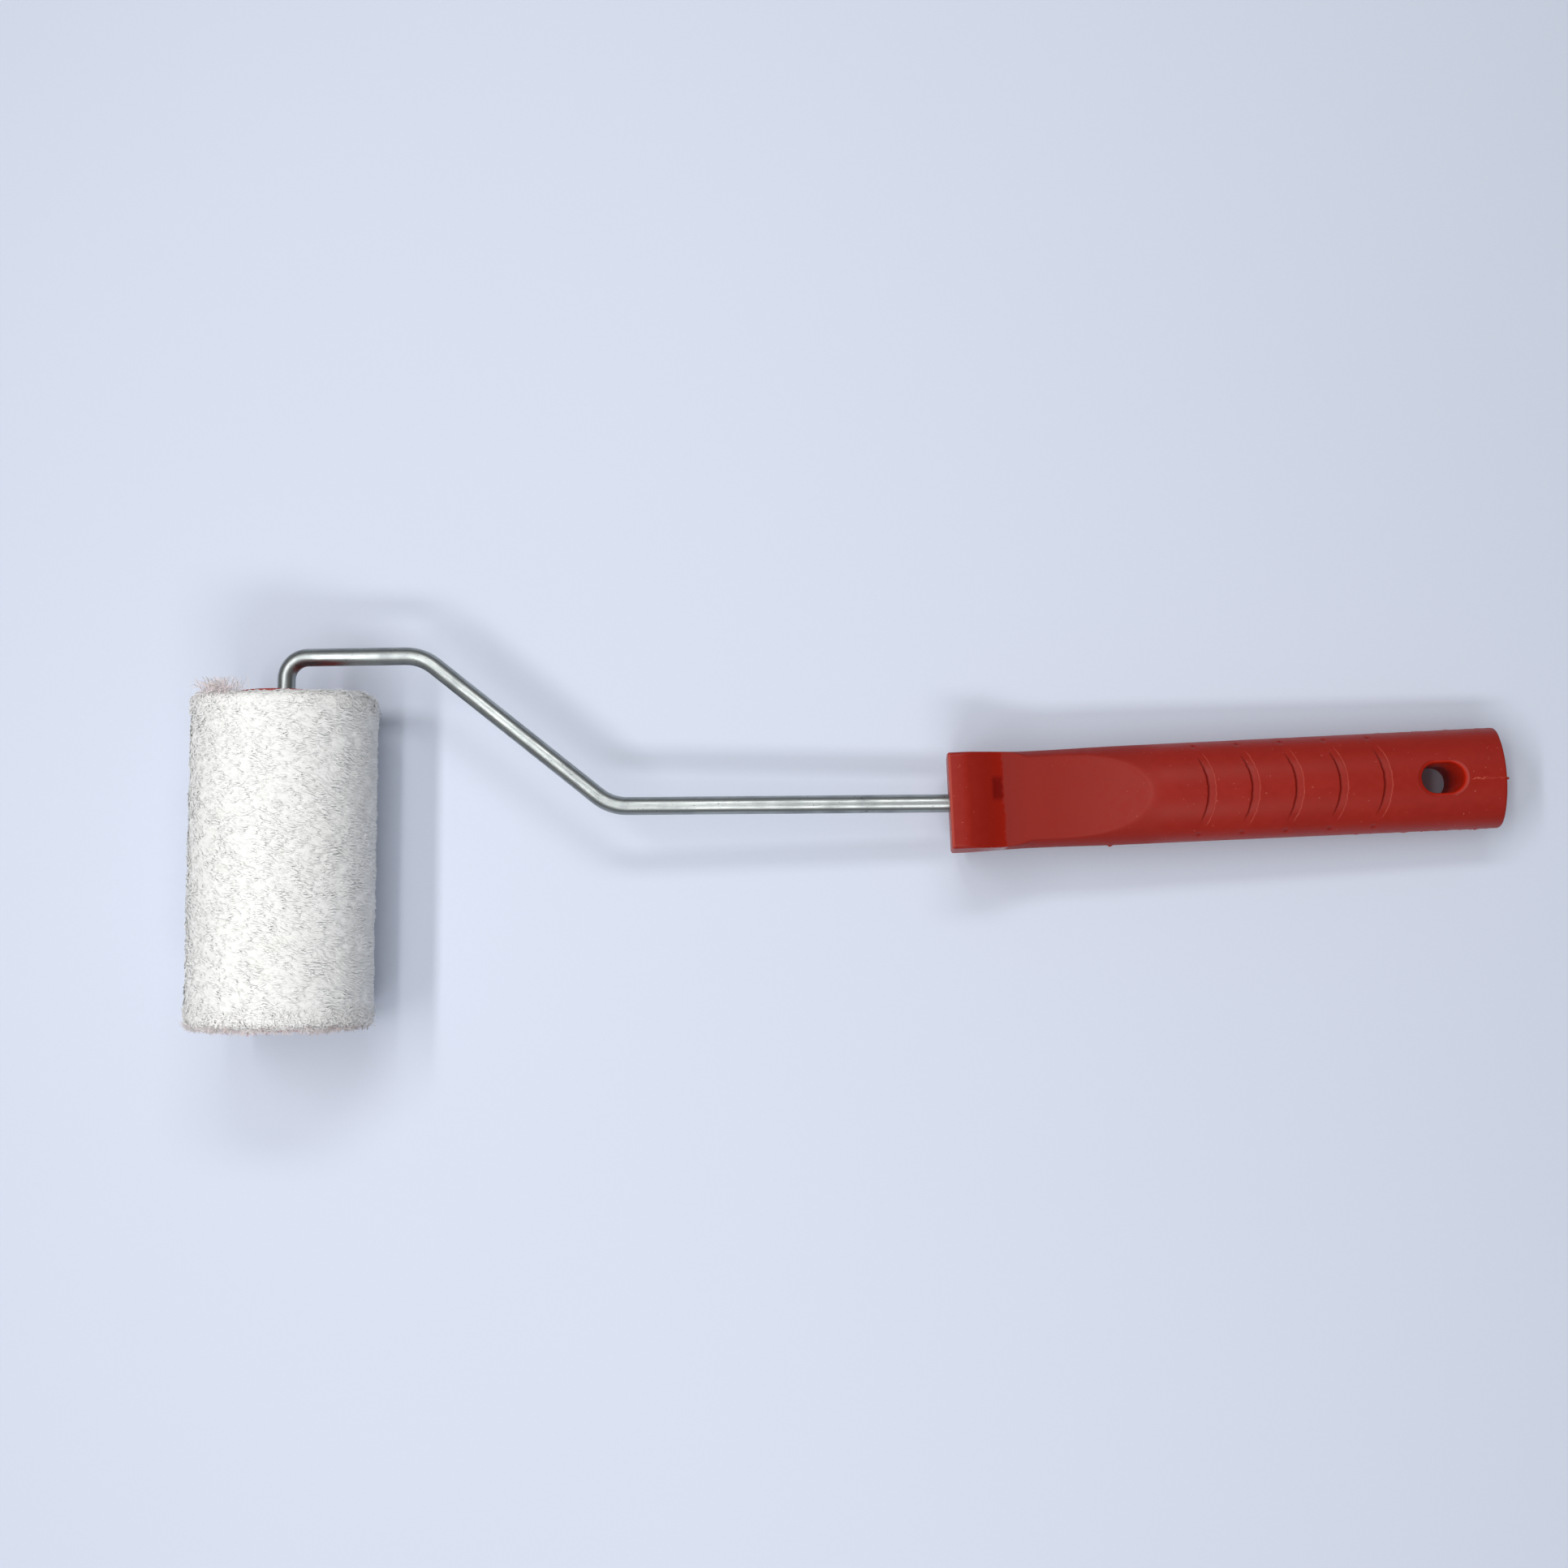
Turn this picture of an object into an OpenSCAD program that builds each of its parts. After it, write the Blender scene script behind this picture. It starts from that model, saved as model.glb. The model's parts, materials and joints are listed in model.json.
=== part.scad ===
// Mini paint roller: a plush sleeve that spins on a bent wire frame with a moulded oval handle.
// Sizes are in mm. The roller lies at rest on a bench: the pile and the end of the handle touch z = 0.
// +X runs from the sleeve to the handle, +Y along the sleeve's axis towards the wire's outer run, +Z up.

/* [Sleeve] */
// Length of the sleeve and of its pile
sleeve_length = 100; // [60:1:180]
// Outer radius of the plush pile
pile_radius = 28; // [20:0.5:35]
// Rounding of the pile's two ends
pile_end_round = 4; // [1:0.5:6]
// Outer radius of the stiff core tube
core_radius = 15; // [12:0.5:18]
// Wall of the core tube
core_wall = 1.5; // [1:0.1:2.5]

/* [End caps] */
// Thickness of the flange that stands proud of the pile
flange_thickness = 1.6; // [1:0.1:3]
// Depth of the spigot inside the core tube
spigot_depth = 9; // [6:0.5:16]
// Wall of the spigot and of the cup
cap_wall = 1.5; // [1:0.1:1.6]
// Radius of the cup that hides the ring and washer
cup_radius = 9; // [8:0.1:9.2]
// Depth of the cup below the flange's outer face
cup_depth = 6; // [5:0.1:8]
// Outer radius of the bearing hub
hub_radius = 5.2; // [4.5:0.1:6.5]
// Length of the bearing hub
hub_length = 9; // [6:0.5:14]
// Number of ribs between cup and spigot
rib_count = 8; // [4:1:12]
// Thickness of a rib
rib_thickness = 1.2; // [0.8:0.1:1.6]

/* [Wire frame] */
// Diameter of the steel wire
wire_diameter = 5.5; // [4:0.1:6.6]
// How far the wire's end stays inside the cap's outer face
wire_end_inset = 1.6; // [1:0.1:3]
// Chamfer on both ends of the wire
wire_end_chamfer = 0.6; // [0.3:0.1:1]
// From the sleeve's end to the outer run's centre line
outer_run_offset = 13.1; // [12:0.1:20]
// Centre line radius of the right-angled bend
elbow_radius = 6.8; // [5:0.1:9]
// Centre line radius of the two slanting bends
bend_radius = 15; // [10:0.5:20]
// Angle between the slanting run and the outer run
slant_angle = 38.5; // [30:0.5:50]
// From the sleeve's axis to where the outer and slanting lines cross
slant_start = 42.7; // [38:0.1:60]
// From the middle of the sleeve to the shank's centre line
shank_offset = 16; // [8:0.5:20]
// Length of the tang inside the handle
tang_length = 105; // [60:1:115]

/* [Handle] */
// From the sleeve's axis to the handle's front face
handle_distance = 204.6; // [190:0.2:240]
// Length of the handle
handle_length = 160; // [155:1:195]
// Width of the handle at its front
handle_width = 30; // [28:0.5:34]
// Thickness of the handle
handle_thickness = 22; // [20:0.5:24]
// Radius of the handle's two sides
side_radius = 8.8; // [8:0.1:9.8]
// Length of the squared head at the handle's front
head_length = 16.5; // [13:0.5:18]
// Rounding of the squared head's long edges
head_round = 1.2; // [0.5:0.1:3]
// Angle by which the handle leans from the shank, seen from above
handle_lean = 2.2; // [0.5:0.1:3]
// How much narrower each side is at the waist behind the front
waist_inset = 0.5; // [0.1:0.1:0.6]
// How much narrower each side is along the grip
grip_inset = 0.25; // [0:0.05:0.5]
// Distance of the waist from the front face
waist_place = 26; // [20:1:34]

/* [Thumb rest] */
// Length of the flat lip at the front
lip_length = 4.5; // [3:0.5:7]
// Depth of the thumb rest below the crown
pad_depth = 5; // [3:0.1:5.5]
// Length of the curved drop behind the lip
pad_ramp = 11.5; // [9:0.5:14]
// Length of the flat part
pad_flat = 15; // [8:0.5:18]
// Length of the long rise back to the crown
pad_rise = 28; // [20:0.5:32]

/* [Grip grooves] */
// Number of grooves on each face
groove_count = 5; // [3:1:5]
// From the front face to the first groove
groove_first = 76; // [68:0.5:80]
// Distance between grooves
groove_pitch = 12.6; // [9:0.1:13]
// Width of a groove
groove_width = 2.5; // [1.5:0.1:3]
// Depth of a groove at the crown
groove_depth = 2; // [1:0.1:2.5]
// Radius of the arc that a groove follows
groove_radius = 22; // [16:0.5:30]

/* [Hang slot] */
// From the butt to the middle of the slot
slot_from_butt = 17.7; // [14:0.1:20]
// Length of the slot
slot_length = 12; // [10:0.5:14]
// Width of the slot
slot_width = 8.7; // [6:0.1:10]
// Bevel around both mouths of the slot
slot_bevel = 1.3; // [0.5:0.1:1.6]

/* [Rings and washers] */
// Outer radius of a thrust washer
washer_radius = 6.6; // [5.5:0.1:7.5]
// Thickness of a thrust washer
washer_thickness = 0.8; // [0.5:0.1:1.2]
// Outer radius of a push-on ring
ring_radius = 6; // [5:0.1:7]
// Thickness of a ring's toothed disc
ring_disc = 0.6; // [0.4:0.1:1]
// Height of a ring with its turned-up rim
ring_height = 1.6; // [1:0.1:2]
// Width of a ring's rim
ring_rim = 0.8; // [0.6:0.1:1.2]
// Number of slits between a ring's teeth
ring_slits = 6; // [4:1:8]
// Width of a slit
slit_width = 0.9; // [0.5:0.1:1.2]

/* [Fits] */
// Radial clearance of the hubs on the wire
running_clearance = 0.08; // [0.02:0.01:0.1]
// Radial clearance of pressed pieces
press_clearance = 0.02; // [0.01:0.01:0.05]
// Play between each cap and its washer
end_play = 0.3; // [0.1:0.05:0.6]

/* [Hidden] */
$fn = 96;
over = 1;
lap = 0.3;
bend_swell = 0.02;
neck = 1;
wire_r = wire_diameter / 2;
half_sleeve = sleeve_length / 2;
cap_face = half_sleeve + flange_thickness;
cup_floor = cap_face - cup_depth;
core_inner = core_radius - core_wall;
spigot_outer = core_inner - press_clearance;
spigot_inner = spigot_outer - cap_wall;
spigot_end = half_sleeve - spigot_depth;
hub_bore = wire_r + running_clearance;
ring_bore = wire_r + press_clearance;
washer_near_cap = cup_floor + end_play;
ring_seat = washer_near_cap + washer_thickness;
slit_reach = ring_radius - 2 * ring_rim;
outer_run_y = half_sleeve + outer_run_offset;
wire_end_y = -(cap_face - wire_end_inset);
bend_reach = bend_radius * tan(slant_angle / 2);
lean_reach = bend_radius * tan(handle_lean / 2);
slant_drop = outer_run_y - shank_offset;
slant_end = slant_start + slant_drop / tan(slant_angle);
slant_length = slant_drop / sin(slant_angle) - 2 * bend_reach;
half_width = handle_width / 2;
half_thick = handle_thickness / 2;
side_centre = half_width - side_radius;
crown_radius = (side_centre ^ 2 + half_thick ^ 2 - side_radius ^ 2) / (2 * (half_thick - side_radius));
crown_reach = crown_radius * side_centre / (crown_radius - side_radius);
pad_level = half_thick - pad_depth;
ramp_radius = (pad_ramp ^ 2 + pad_depth ^ 2) / (2 * pad_depth);
rise_radius = (pad_rise ^ 2 + pad_depth ^ 2) / (2 * pad_depth);
flat_start = lip_length + pad_ramp;
flat_end = flat_start + pad_flat;
slot_place = handle_length - slot_from_butt;
slot_r = slot_width / 2;
slot_half = slot_length / 2 - slot_r;
butt_reach = handle_distance + handle_length * cos(handle_lean);
rest_tilt = asin(pile_radius / norm([butt_reach, half_thick])) - atan2(half_thick, butt_reach);
butt_bulge = norm([(half_width - grip_inset) * sin(handle_lean) * cos(rest_tilt), half_thick * sin(rest_tilt)]);
x_high = butt_reach * cos(rest_tilt) + butt_bulge;
x_middle = (x_high - pile_radius) / 2;
y_middle = (outer_run_y + wire_r - cap_face) / 2;

// Puts a piece drawn on the sleeve's axis into the resting pose.
module at_rest() {
    translate([-x_middle, -y_middle, pile_radius])
        rotate([0, rest_tilt, 0])
            children();
}

// Turns a piece drawn along Z so that it runs along +Y.
module along_y() {
    rotate([-90, 0, 0])
        children();
}

// The frame of the handle: its front face at 0, its length along X. It leans from just before the front face.
module in_handle() {
    translate([handle_distance - neck, shank_offset, 0])
        rotate([0, 0, handle_lean])
            translate([neck, 0, 0])
                children();
}

// Four-centred oval section of the handle, width along x, thickness along y.
module oval() {
    for (side = [-1, 1])
        translate([side * side_centre, 0])
            circle(r = side_radius);
    intersection() {
        translate([0, half_thick - crown_radius])
            circle(r = crown_radius);
        translate([0, crown_radius - half_thick])
            circle(r = crown_radius);
        square([2 * crown_reach, handle_thickness], center = true);
    }
}

// Section of the squared head at the handle's front, width along x, thickness along y.
module squared() {
    flat_width = half_width - head_round;
    flat_thick = half_thick - head_round;
    square([handle_width, 2 * flat_thick], center = true);
    square([2 * flat_width, handle_thickness], center = true);
    for (x = [-1, 1])
        for (y = [-1, 1])
            translate([x * flat_width, y * flat_thick])
                circle(r = head_round);
}

// Outline of the handle from above.
module plan_outline() {
    front = half_width + over;
    waist = half_width - waist_inset;
    grip = half_width - grip_inset;
    grip_start = waist_place + pad_rise;
    polygon([
        [-over, front], [0, half_width], [waist_place, waist], [grip_start, grip], [handle_length + over, grip],
        [handle_length + over, -grip], [grip_start, -grip], [waist_place, -waist], [0, -half_width], [-over, -front]
    ]);
}

// Side view of what the thumb rest takes away: a curved drop, a flat and a long rise.
module thumb_cut() {
    rotate([90, 0, 0])
        linear_extrude(height = handle_width + 2 * over, center = true) {
            intersection() {
                translate([flat_start, pad_level + ramp_radius])
                    circle(r = ramp_radius);
                translate([lip_length - over, pad_level])
                    square([pad_ramp + over, pad_depth + over]);
            }
            translate([flat_start, pad_level])
                square([pad_flat, pad_depth + over]);
            intersection() {
                translate([flat_end, pad_level + rise_radius])
                    circle(r = rise_radius);
                translate([flat_end, pad_level])
                    square([pad_rise + 2 * over, pad_depth + over]);
            }
        }
}

// One grip groove: an arc with a level floor, so it fades out towards the sides.
module groove_cut(place) {
    translate([place - groove_radius, 0, half_thick - groove_depth])
        difference() {
            cylinder(r = groove_radius + groove_width / 2, h = groove_depth + over);
            translate([0, 0, -over])
                cylinder(r = groove_radius - groove_width / 2, h = groove_depth + 3 * over);
            translate([-2 * groove_radius, -2 * groove_radius, -over])
                cube([2 * groove_radius, 4 * groove_radius, groove_depth + 3 * over]);
        }
}

// The hang slot with bevelled mouths, cut right through.
module slot_cut() {
    reach = handle_thickness + 2 * over;
    for (end = [-1, 1])
        translate([slot_place + end * slot_half, 0, -reach / 2])
            cylinder(r = slot_r, h = reach);
    translate([slot_place, 0, 0])
        cube([2 * slot_half, slot_width, reach], center = true);
    for (face = [0, 1])
        mirror([0, 0, face])
            slot_mouth();
}

module slot_mouth() {
    low = half_thick - slot_bevel;
    for (end = [-1, 1])
        translate([slot_place + end * slot_half, 0, low])
            cylinder(r1 = slot_r, r2 = slot_r + slot_bevel + over, h = slot_bevel + over);
    translate([slot_place - slot_half, 0, low])
        rotate([90, 0, 90])
            linear_extrude(height = 2 * slot_half)
                polygon([
                    [-slot_r, 0], [slot_r, 0], [slot_r + slot_bevel + over, slot_bevel + over],
                    [-slot_r - slot_bevel - over, slot_bevel + over]
                ]);
}

// The moulded handle, with thumb rests and grooves on both faces and a blind bore for the tang.
module handle() {
    color([0.60, 0.06, 0.05])
        at_rest()
            in_handle()
                difference() {
                    intersection() {
                        rotate([90, 0, 90]) {
                            linear_extrude(height = handle_length)
                                oval();
                            linear_extrude(height = head_length)
                                squared();
                        }
                        linear_extrude(height = handle_thickness + 2 * over, center = true)
                            plan_outline();
                    }
                    for (face = [0, 1])
                        mirror([0, 0, face]) {
                            thumb_cut();
                            for (i = [0 : groove_count - 1])
                                groove_cut(groove_first + i * groove_pitch);
                        }
                    slot_cut();
                    translate([-over, 0, 0])
                        rotate([0, 90, 0])
                            cylinder(r = wire_r + press_clearance, h = tang_length + 2 * over);
                }
}

// A straight piece of wire from a point, at an angle in plan. It laps into its neighbours.
module wire_run(from, heading, length) {
    translate(from)
        rotate([0, 90, heading])
            translate([0, 0, -lap])
                cylinder(r = wire_r, h = length + 2 * lap);
}

// A bend of the wire about a centre, in plan, swollen a little as bending does.
module wire_bend(centre, radius, start, sweep) {
    translate(centre)
        rotate([0, 0, start])
            rotate_extrude(angle = sweep)
                translate([radius, 0])
                    circle(r = wire_r + bend_swell);
}

// What the chamfer takes off an end of the wire that points along a heading.
module tip_cut(at, heading) {
    translate(at)
        rotate([0, 90, heading])
            translate([0, 0, -wire_end_chamfer - over])
                difference() {
                    cylinder(r = wire_r + 2 * over, h = wire_end_chamfer + 3 * over);
                    cylinder(r1 = wire_r + over, r2 = wire_r - wire_end_chamfer - over,
                        h = wire_end_chamfer + 2 * over);
                }
}

// The one-piece wire frame: axle, elbow, outer run, slanting run, shank and tang.
module wire_frame() {
    first_bend = slant_start - bend_reach;
    last_bend = slant_end + bend_reach;
    lean_start = handle_distance - neck - lean_reach;
    axle_start = wire_end_y + lap;
    color([0.72, 0.73, 0.75])
        at_rest()
            difference() {
                union() {
                    wire_run([0, axle_start, 0], 90, outer_run_y - elbow_radius - axle_start);
                    wire_bend([elbow_radius, outer_run_y - elbow_radius, 0], elbow_radius, 90, 90);
                    wire_run([elbow_radius, outer_run_y, 0], 0, first_bend - elbow_radius);
                    wire_bend([first_bend, outer_run_y - bend_radius, 0], bend_radius, 90 - slant_angle, slant_angle);
                    wire_run([slant_start + bend_reach * cos(slant_angle),
                        outer_run_y - bend_reach * sin(slant_angle), 0], -slant_angle, slant_length);
                    wire_bend([last_bend, shank_offset + bend_radius, 0], bend_radius, 270 - slant_angle, slant_angle);
                    wire_run([last_bend, shank_offset, 0], 0, lean_start - last_bend);
                    wire_bend([lean_start, shank_offset + bend_radius, 0], bend_radius, 270, handle_lean);
                    in_handle()
                        wire_run([lean_reach - neck, 0, 0], 0, tang_length + neck - lean_reach - lap);
                }
                tip_cut([0, wire_end_y, 0], -90);
                in_handle()
                    tip_cut([tang_length, 0, 0], 0);
            }
}

// The stiff tube that the pile is bonded to.
module core_tube() {
    color([0.86, 0.85, 0.80])
        at_rest()
            translate([0, -half_sleeve, 0])
                along_y()
                    difference() {
                        cylinder(r = core_radius, h = sleeve_length);
                        translate([0, 0, -over])
                            cylinder(r = core_inner, h = sleeve_length + 2 * over);
                    }
}

// The plush pile with rounded ends.
module pile_cover() {
    depth = pile_radius - core_radius;
    color([0.95, 0.95, 0.94])
        at_rest()
            along_y()
                rotate_extrude() {
                    translate([core_radius, -half_sleeve])
                        square([depth - pile_end_round, sleeve_length]);
                    translate([core_radius, pile_end_round - half_sleeve])
                        square([depth, sleeve_length - 2 * pile_end_round]);
                    for (end = [-1, 1])
                        translate([pile_radius - pile_end_round, end * (half_sleeve - pile_end_round)])
                            circle(r = pile_end_round);
                }
}

// Half section of an end cap: flange, spigot, cup with its floor, and hub.
module cap_section() {
    cup_outer = cup_radius + cap_wall;
    translate([cup_radius, half_sleeve])
        square([core_radius - cup_radius, flange_thickness]);
    translate([spigot_inner, spigot_end])
        square([cap_wall, spigot_depth + flange_thickness / 2]);
    translate([cup_radius, cup_floor - cap_wall])
        square([cap_wall, cup_depth + cap_wall - flange_thickness / 2]);
    translate([hub_bore, cup_floor - cap_wall])
        square([cup_outer - hub_bore, cap_wall]);
    translate([hub_bore, cup_floor - hub_length])
        square([hub_radius - hub_bore, hub_length]);
}

// An end cap, drawn with its flange towards +Z.
module end_cap() {
    rib_from = cup_radius + cap_wall / 2;
    rib_to = spigot_inner + cap_wall / 2;
    rib_low = cup_floor - cap_wall;
    rotate_extrude()
        cap_section();
    for (i = [0 : rib_count - 1])
        rotate([0, 0, i * 360 / rib_count])
            translate([rib_from, -rib_thickness / 2, rib_low])
                cube([rib_to - rib_from, rib_thickness, half_sleeve + flange_thickness / 2 - rib_low]);
}

module far_end_cap() {
    color([0.62, 0.07, 0.06])
        at_rest()
            along_y()
                end_cap();
}

module near_end_cap() {
    color([0.62, 0.07, 0.06])
        at_rest()
            mirror([0, 1, 0])
                along_y()
                    end_cap();
}

// A plain thrust washer, loose on the wire.
module thrust_washer() {
    translate([0, 0, washer_near_cap])
        difference() {
            cylinder(r = washer_radius, h = washer_thickness);
            translate([0, 0, -over])
                cylinder(r = hub_bore, h = washer_thickness + 2 * over);
        }
}

module far_thrust_washer() {
    color([0.66, 0.67, 0.69])
        at_rest()
            along_y()
                thrust_washer();
}

module near_thrust_washer() {
    color([0.66, 0.67, 0.69])
        at_rest()
            mirror([0, 1, 0])
                along_y()
                    thrust_washer();
}

// A push-on ring: a toothed disc with a turned-up rim that grips the wire.
module push_ring() {
    translate([0, 0, ring_seat])
        difference() {
            cylinder(r = ring_radius, h = ring_height);
            translate([0, 0, ring_disc])
                cylinder(r = ring_radius - ring_rim, h = ring_height);
            translate([0, 0, -over])
                cylinder(r = ring_bore, h = ring_height + over);
            for (i = [0 : ring_slits - 1])
                rotate([0, 0, i * 360 / ring_slits])
                    translate([0, -slit_width / 2, -over])
                        cube([slit_reach, slit_width, ring_height + over]);
        }
}

module far_push_ring() {
    color([0.50, 0.51, 0.53])
        at_rest()
            along_y()
                push_ring();
}

module near_push_ring() {
    color([0.50, 0.51, 0.53])
        at_rest()
            mirror([0, 1, 0])
                along_y()
                    push_ring();
}

handle();
wire_frame();
near_push_ring();
far_push_ring();
near_thrust_washer();
far_thrust_washer();
core_tube();
pile_cover();
near_end_cap();
far_end_cap();
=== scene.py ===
import json
import math

import bmesh
import bpy
import numpy as np
from mathutils import Matrix, Vector, noise


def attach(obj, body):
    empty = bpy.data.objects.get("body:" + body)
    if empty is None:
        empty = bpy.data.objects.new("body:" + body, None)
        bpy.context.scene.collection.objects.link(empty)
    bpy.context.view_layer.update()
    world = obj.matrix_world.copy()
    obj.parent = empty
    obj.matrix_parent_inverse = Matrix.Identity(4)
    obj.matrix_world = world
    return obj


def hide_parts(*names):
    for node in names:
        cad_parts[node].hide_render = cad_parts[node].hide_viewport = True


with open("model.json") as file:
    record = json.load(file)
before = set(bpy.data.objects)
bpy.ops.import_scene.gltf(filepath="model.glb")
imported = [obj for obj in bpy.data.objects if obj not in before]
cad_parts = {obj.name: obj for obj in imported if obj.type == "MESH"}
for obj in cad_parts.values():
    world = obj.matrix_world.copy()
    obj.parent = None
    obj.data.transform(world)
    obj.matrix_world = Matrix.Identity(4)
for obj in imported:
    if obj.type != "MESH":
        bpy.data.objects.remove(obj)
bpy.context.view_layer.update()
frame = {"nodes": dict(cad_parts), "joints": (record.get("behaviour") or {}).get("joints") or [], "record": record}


# ------------------------------
# Camera. It hangs straight over the bench, a little more than half a metre up, and looks
# almost plumb down on the roller.
# ------------------------------
def put(name, data):
    """Makes an object of some data, and puts it in the scene."""
    made = bpy.data.objects.new(name, data)
    bpy.context.scene.collection.objects.link(made)
    return made


lens = bpy.data.cameras.new("overhead_lens")
lens.sensor_width = 36
lens.lens = 39.95
lens.clip_start = 0.01
lens.clip_end = 20
overhead = put("overhead_camera", lens)
overhead.rotation_mode = "ZXY"
overhead.location = (0.047828, -0.029525, 0.542156)
overhead.rotation_euler = [math.radians(a) for a in (4.867, 6.735, -0.193)]
bpy.context.scene.camera = overhead
bpy.context.scene.view_settings.view_transform = "Standard"


# ------------------------------
# Wire frame. One length of 5.5 mm drawn steel, zinc plated, cut with chamfered ends and
# cold bent: axle, tight elbow, outer run, slanting run, shank, and the tang in the handle.
# It is drawn in millimetres in the tool's own frame, sleeve axis on Y, and then laid down.
# ------------------------------
spin = frame["joints"][0]
seat = frame["record"]["mounts"][0]
rest_tilt = math.atan2(seat["axis"][0], seat["axis"][2])
tool_frame = (Matrix.Translation(Vector(spin["pos_m"])) @ Matrix.Rotation(rest_tilt, 4, "Y")
              @ Matrix.Scale(0.001, 4))

wire_r = 2.75
outer_run = 63.1
wire_end = -50.0
tip_chamfer = 0.6
elbow_r = 6.8
bend_r = 15.0
slant = math.radians(38.5)
lean = math.radians(2.2)
shank_y = 16.0
slant_start = 42.7
slant_end = slant_start + (outer_run - shank_y) / math.tan(slant)
bend_reach = bend_r * math.tan(slant / 2)
handle_x = 204.6
neck = 1.0
tang = 105.0


def add_node(tree, kind, inputs=None, **settings):
    """Puts a node in a tree. An input that is another node's output is linked, and any other is set."""
    node = tree.nodes.new("ShaderNode" + kind)
    for key, value in settings.items():
        setattr(node, key, value)
    for key, value in (inputs or {}).items():
        if isinstance(value, bpy.types.NodeSocket):
            tree.links.new(value, node.inputs[key])
        else:
            node.inputs[key].default_value = value
    return node


def noise_of(tree, vector, scale, detail, rough=0.5):
    return add_node(tree, "TexNoise", {"Vector": vector, "Scale": scale, "Detail": detail,
                                       "Roughness": rough}).outputs["Fac"]


def remap(tree, value, low, high, to_low=0.0, to_high=1.0):
    return add_node(tree, "MapRange", {"Value": value, "From Min": low, "From Max": high,
                                       "To Min": to_low, "To Max": to_high}).outputs["Result"]


def calc(tree, operation, a, b=0.0, clamp=False):
    return add_node(tree, "Math", {0: a, 1: b}, operation=operation, use_clamp=clamp).outputs[0]


def times(tree, a, b):
    return calc(tree, "MULTIPLY", a, b)


def mark_of(tree, name):
    """The value that each point of a mesh carries under this name."""
    return add_node(tree, "Attribute", attribute_name=name).outputs["Fac"]


def mix_colour(tree, share, a, b):
    node = add_node(tree, "Mix", {"Factor": share}, data_type="RGBA")
    for socket, value in ((node.inputs[6], a), (node.inputs[7], b)):
        if isinstance(value, bpy.types.NodeSocket):
            tree.links.new(value, socket)
        else:
            socket.default_value = (*value, 1)
    return node.outputs[2]


def new_material(name, **constants):
    """A Principled material. The constants are set on the shader's own sockets."""
    made = bpy.data.materials.new(name)
    made.use_nodes = True
    shader = made.node_tree.nodes["Principled BSDF"]
    for key, value in constants.items():
        shader.inputs[key.replace("_", " ")].default_value = value
    return made, made.node_tree, shader


def link_out(group, out, **values):
    """Links each value to the group output of the same name."""
    for key, value in values.items():
        group.links.new(value, out[key])


def set_bump(tree, shader, height, distance, strength):
    bump = add_node(tree, "Bump", {"Height": height, "Distance": distance, "Strength": strength})
    tree.links.new(bump.outputs["Normal"], shader.inputs["Normal"])


def new_group(name, inputs, outputs):
    """An empty shader node group with named inputs and outputs."""
    group = bpy.data.node_groups.new(name, "ShaderNodeTree")
    kinds = {"float": "NodeSocketFloat", "vector": "NodeSocketVector", "colour": "NodeSocketColor"}
    for key, (kind, value) in inputs.items():
        socket = group.interface.new_socket(key, in_out="INPUT", socket_type=kinds[kind])
        socket.default_value = value
    for key, kind in outputs.items():
        group.interface.new_socket(key, in_out="OUTPUT", socket_type=kinds[kind])
    entry = group.nodes.new("NodeGroupInput")
    leave = group.nodes.new("NodeGroupOutput")
    return group, entry.outputs, leave.inputs


def use_group(tree, group, **inputs):
    node = tree.nodes.new("ShaderNodeGroup")
    node.node_tree = group
    for key, value in inputs.items():
        socket = node.inputs[key.replace("_", " ")]
        if isinstance(value, bpy.types.NodeSocket):
            tree.links.new(value, socket)
        else:
            socket.default_value = value
    return node.outputs


def drawn_zinc():
    """Zinc on drawn steel: streaks along the metal, cloudy patches, and small dark pits."""
    group, given, out = new_group(
        "Drawn zinc",
        {"Along": ("vector", (0, 0, 0)), "Bright": ("colour", (0.7, 0.7, 0.7, 1)),
         "Dull": ("colour", (0.4, 0.4, 0.4, 1)), "Streaks": ("float", 1.0), "Pits": ("float", 1.0)},
        {"Colour": "colour", "Roughness": "float", "Height": "float"})
    stretched = add_node(group, "Mapping", {"Vector": given["Along"], "Scale": (0.03, 1, 1)}).outputs[0]
    fine = noise_of(group, stretched, 2600, 3, 0.6)
    broad = noise_of(group, stretched, 700, 2)
    cloud = noise_of(group, given["Along"], 160, 3)
    specks = noise_of(group, given["Along"], 1500, 2)
    pits = times(group, remap(group, specks, 0.685, 0.74), given["Pits"])
    grain = calc(group, "ADD", times(group, fine, 0.6), times(group, broad, 0.4))
    lines = times(group, remap(group, grain, 0.40, 0.62), given["Streaks"])
    cloudy = remap(group, cloud, 0.38, 0.66, 0, 0.45)
    tone = calc(group, "ADD", times(group, lines, 0.35), cloudy, True)
    colour = mix_colour(group, tone, given["Bright"], given["Dull"])
    colour = mix_colour(group, pits, colour, (0.045, 0.045, 0.04))
    rough = calc(group, "ADD", remap(group, cloud, 0.3, 0.7, 0.30, 0.38), times(group, lines, 0.06))
    height = calc(group, "SUBTRACT", times(group, lines, 0.35), pits)
    link_out(group, out, Colour=colour, Roughness=rough, Height=height)
    return group


zinc_group = drawn_zinc()


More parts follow.
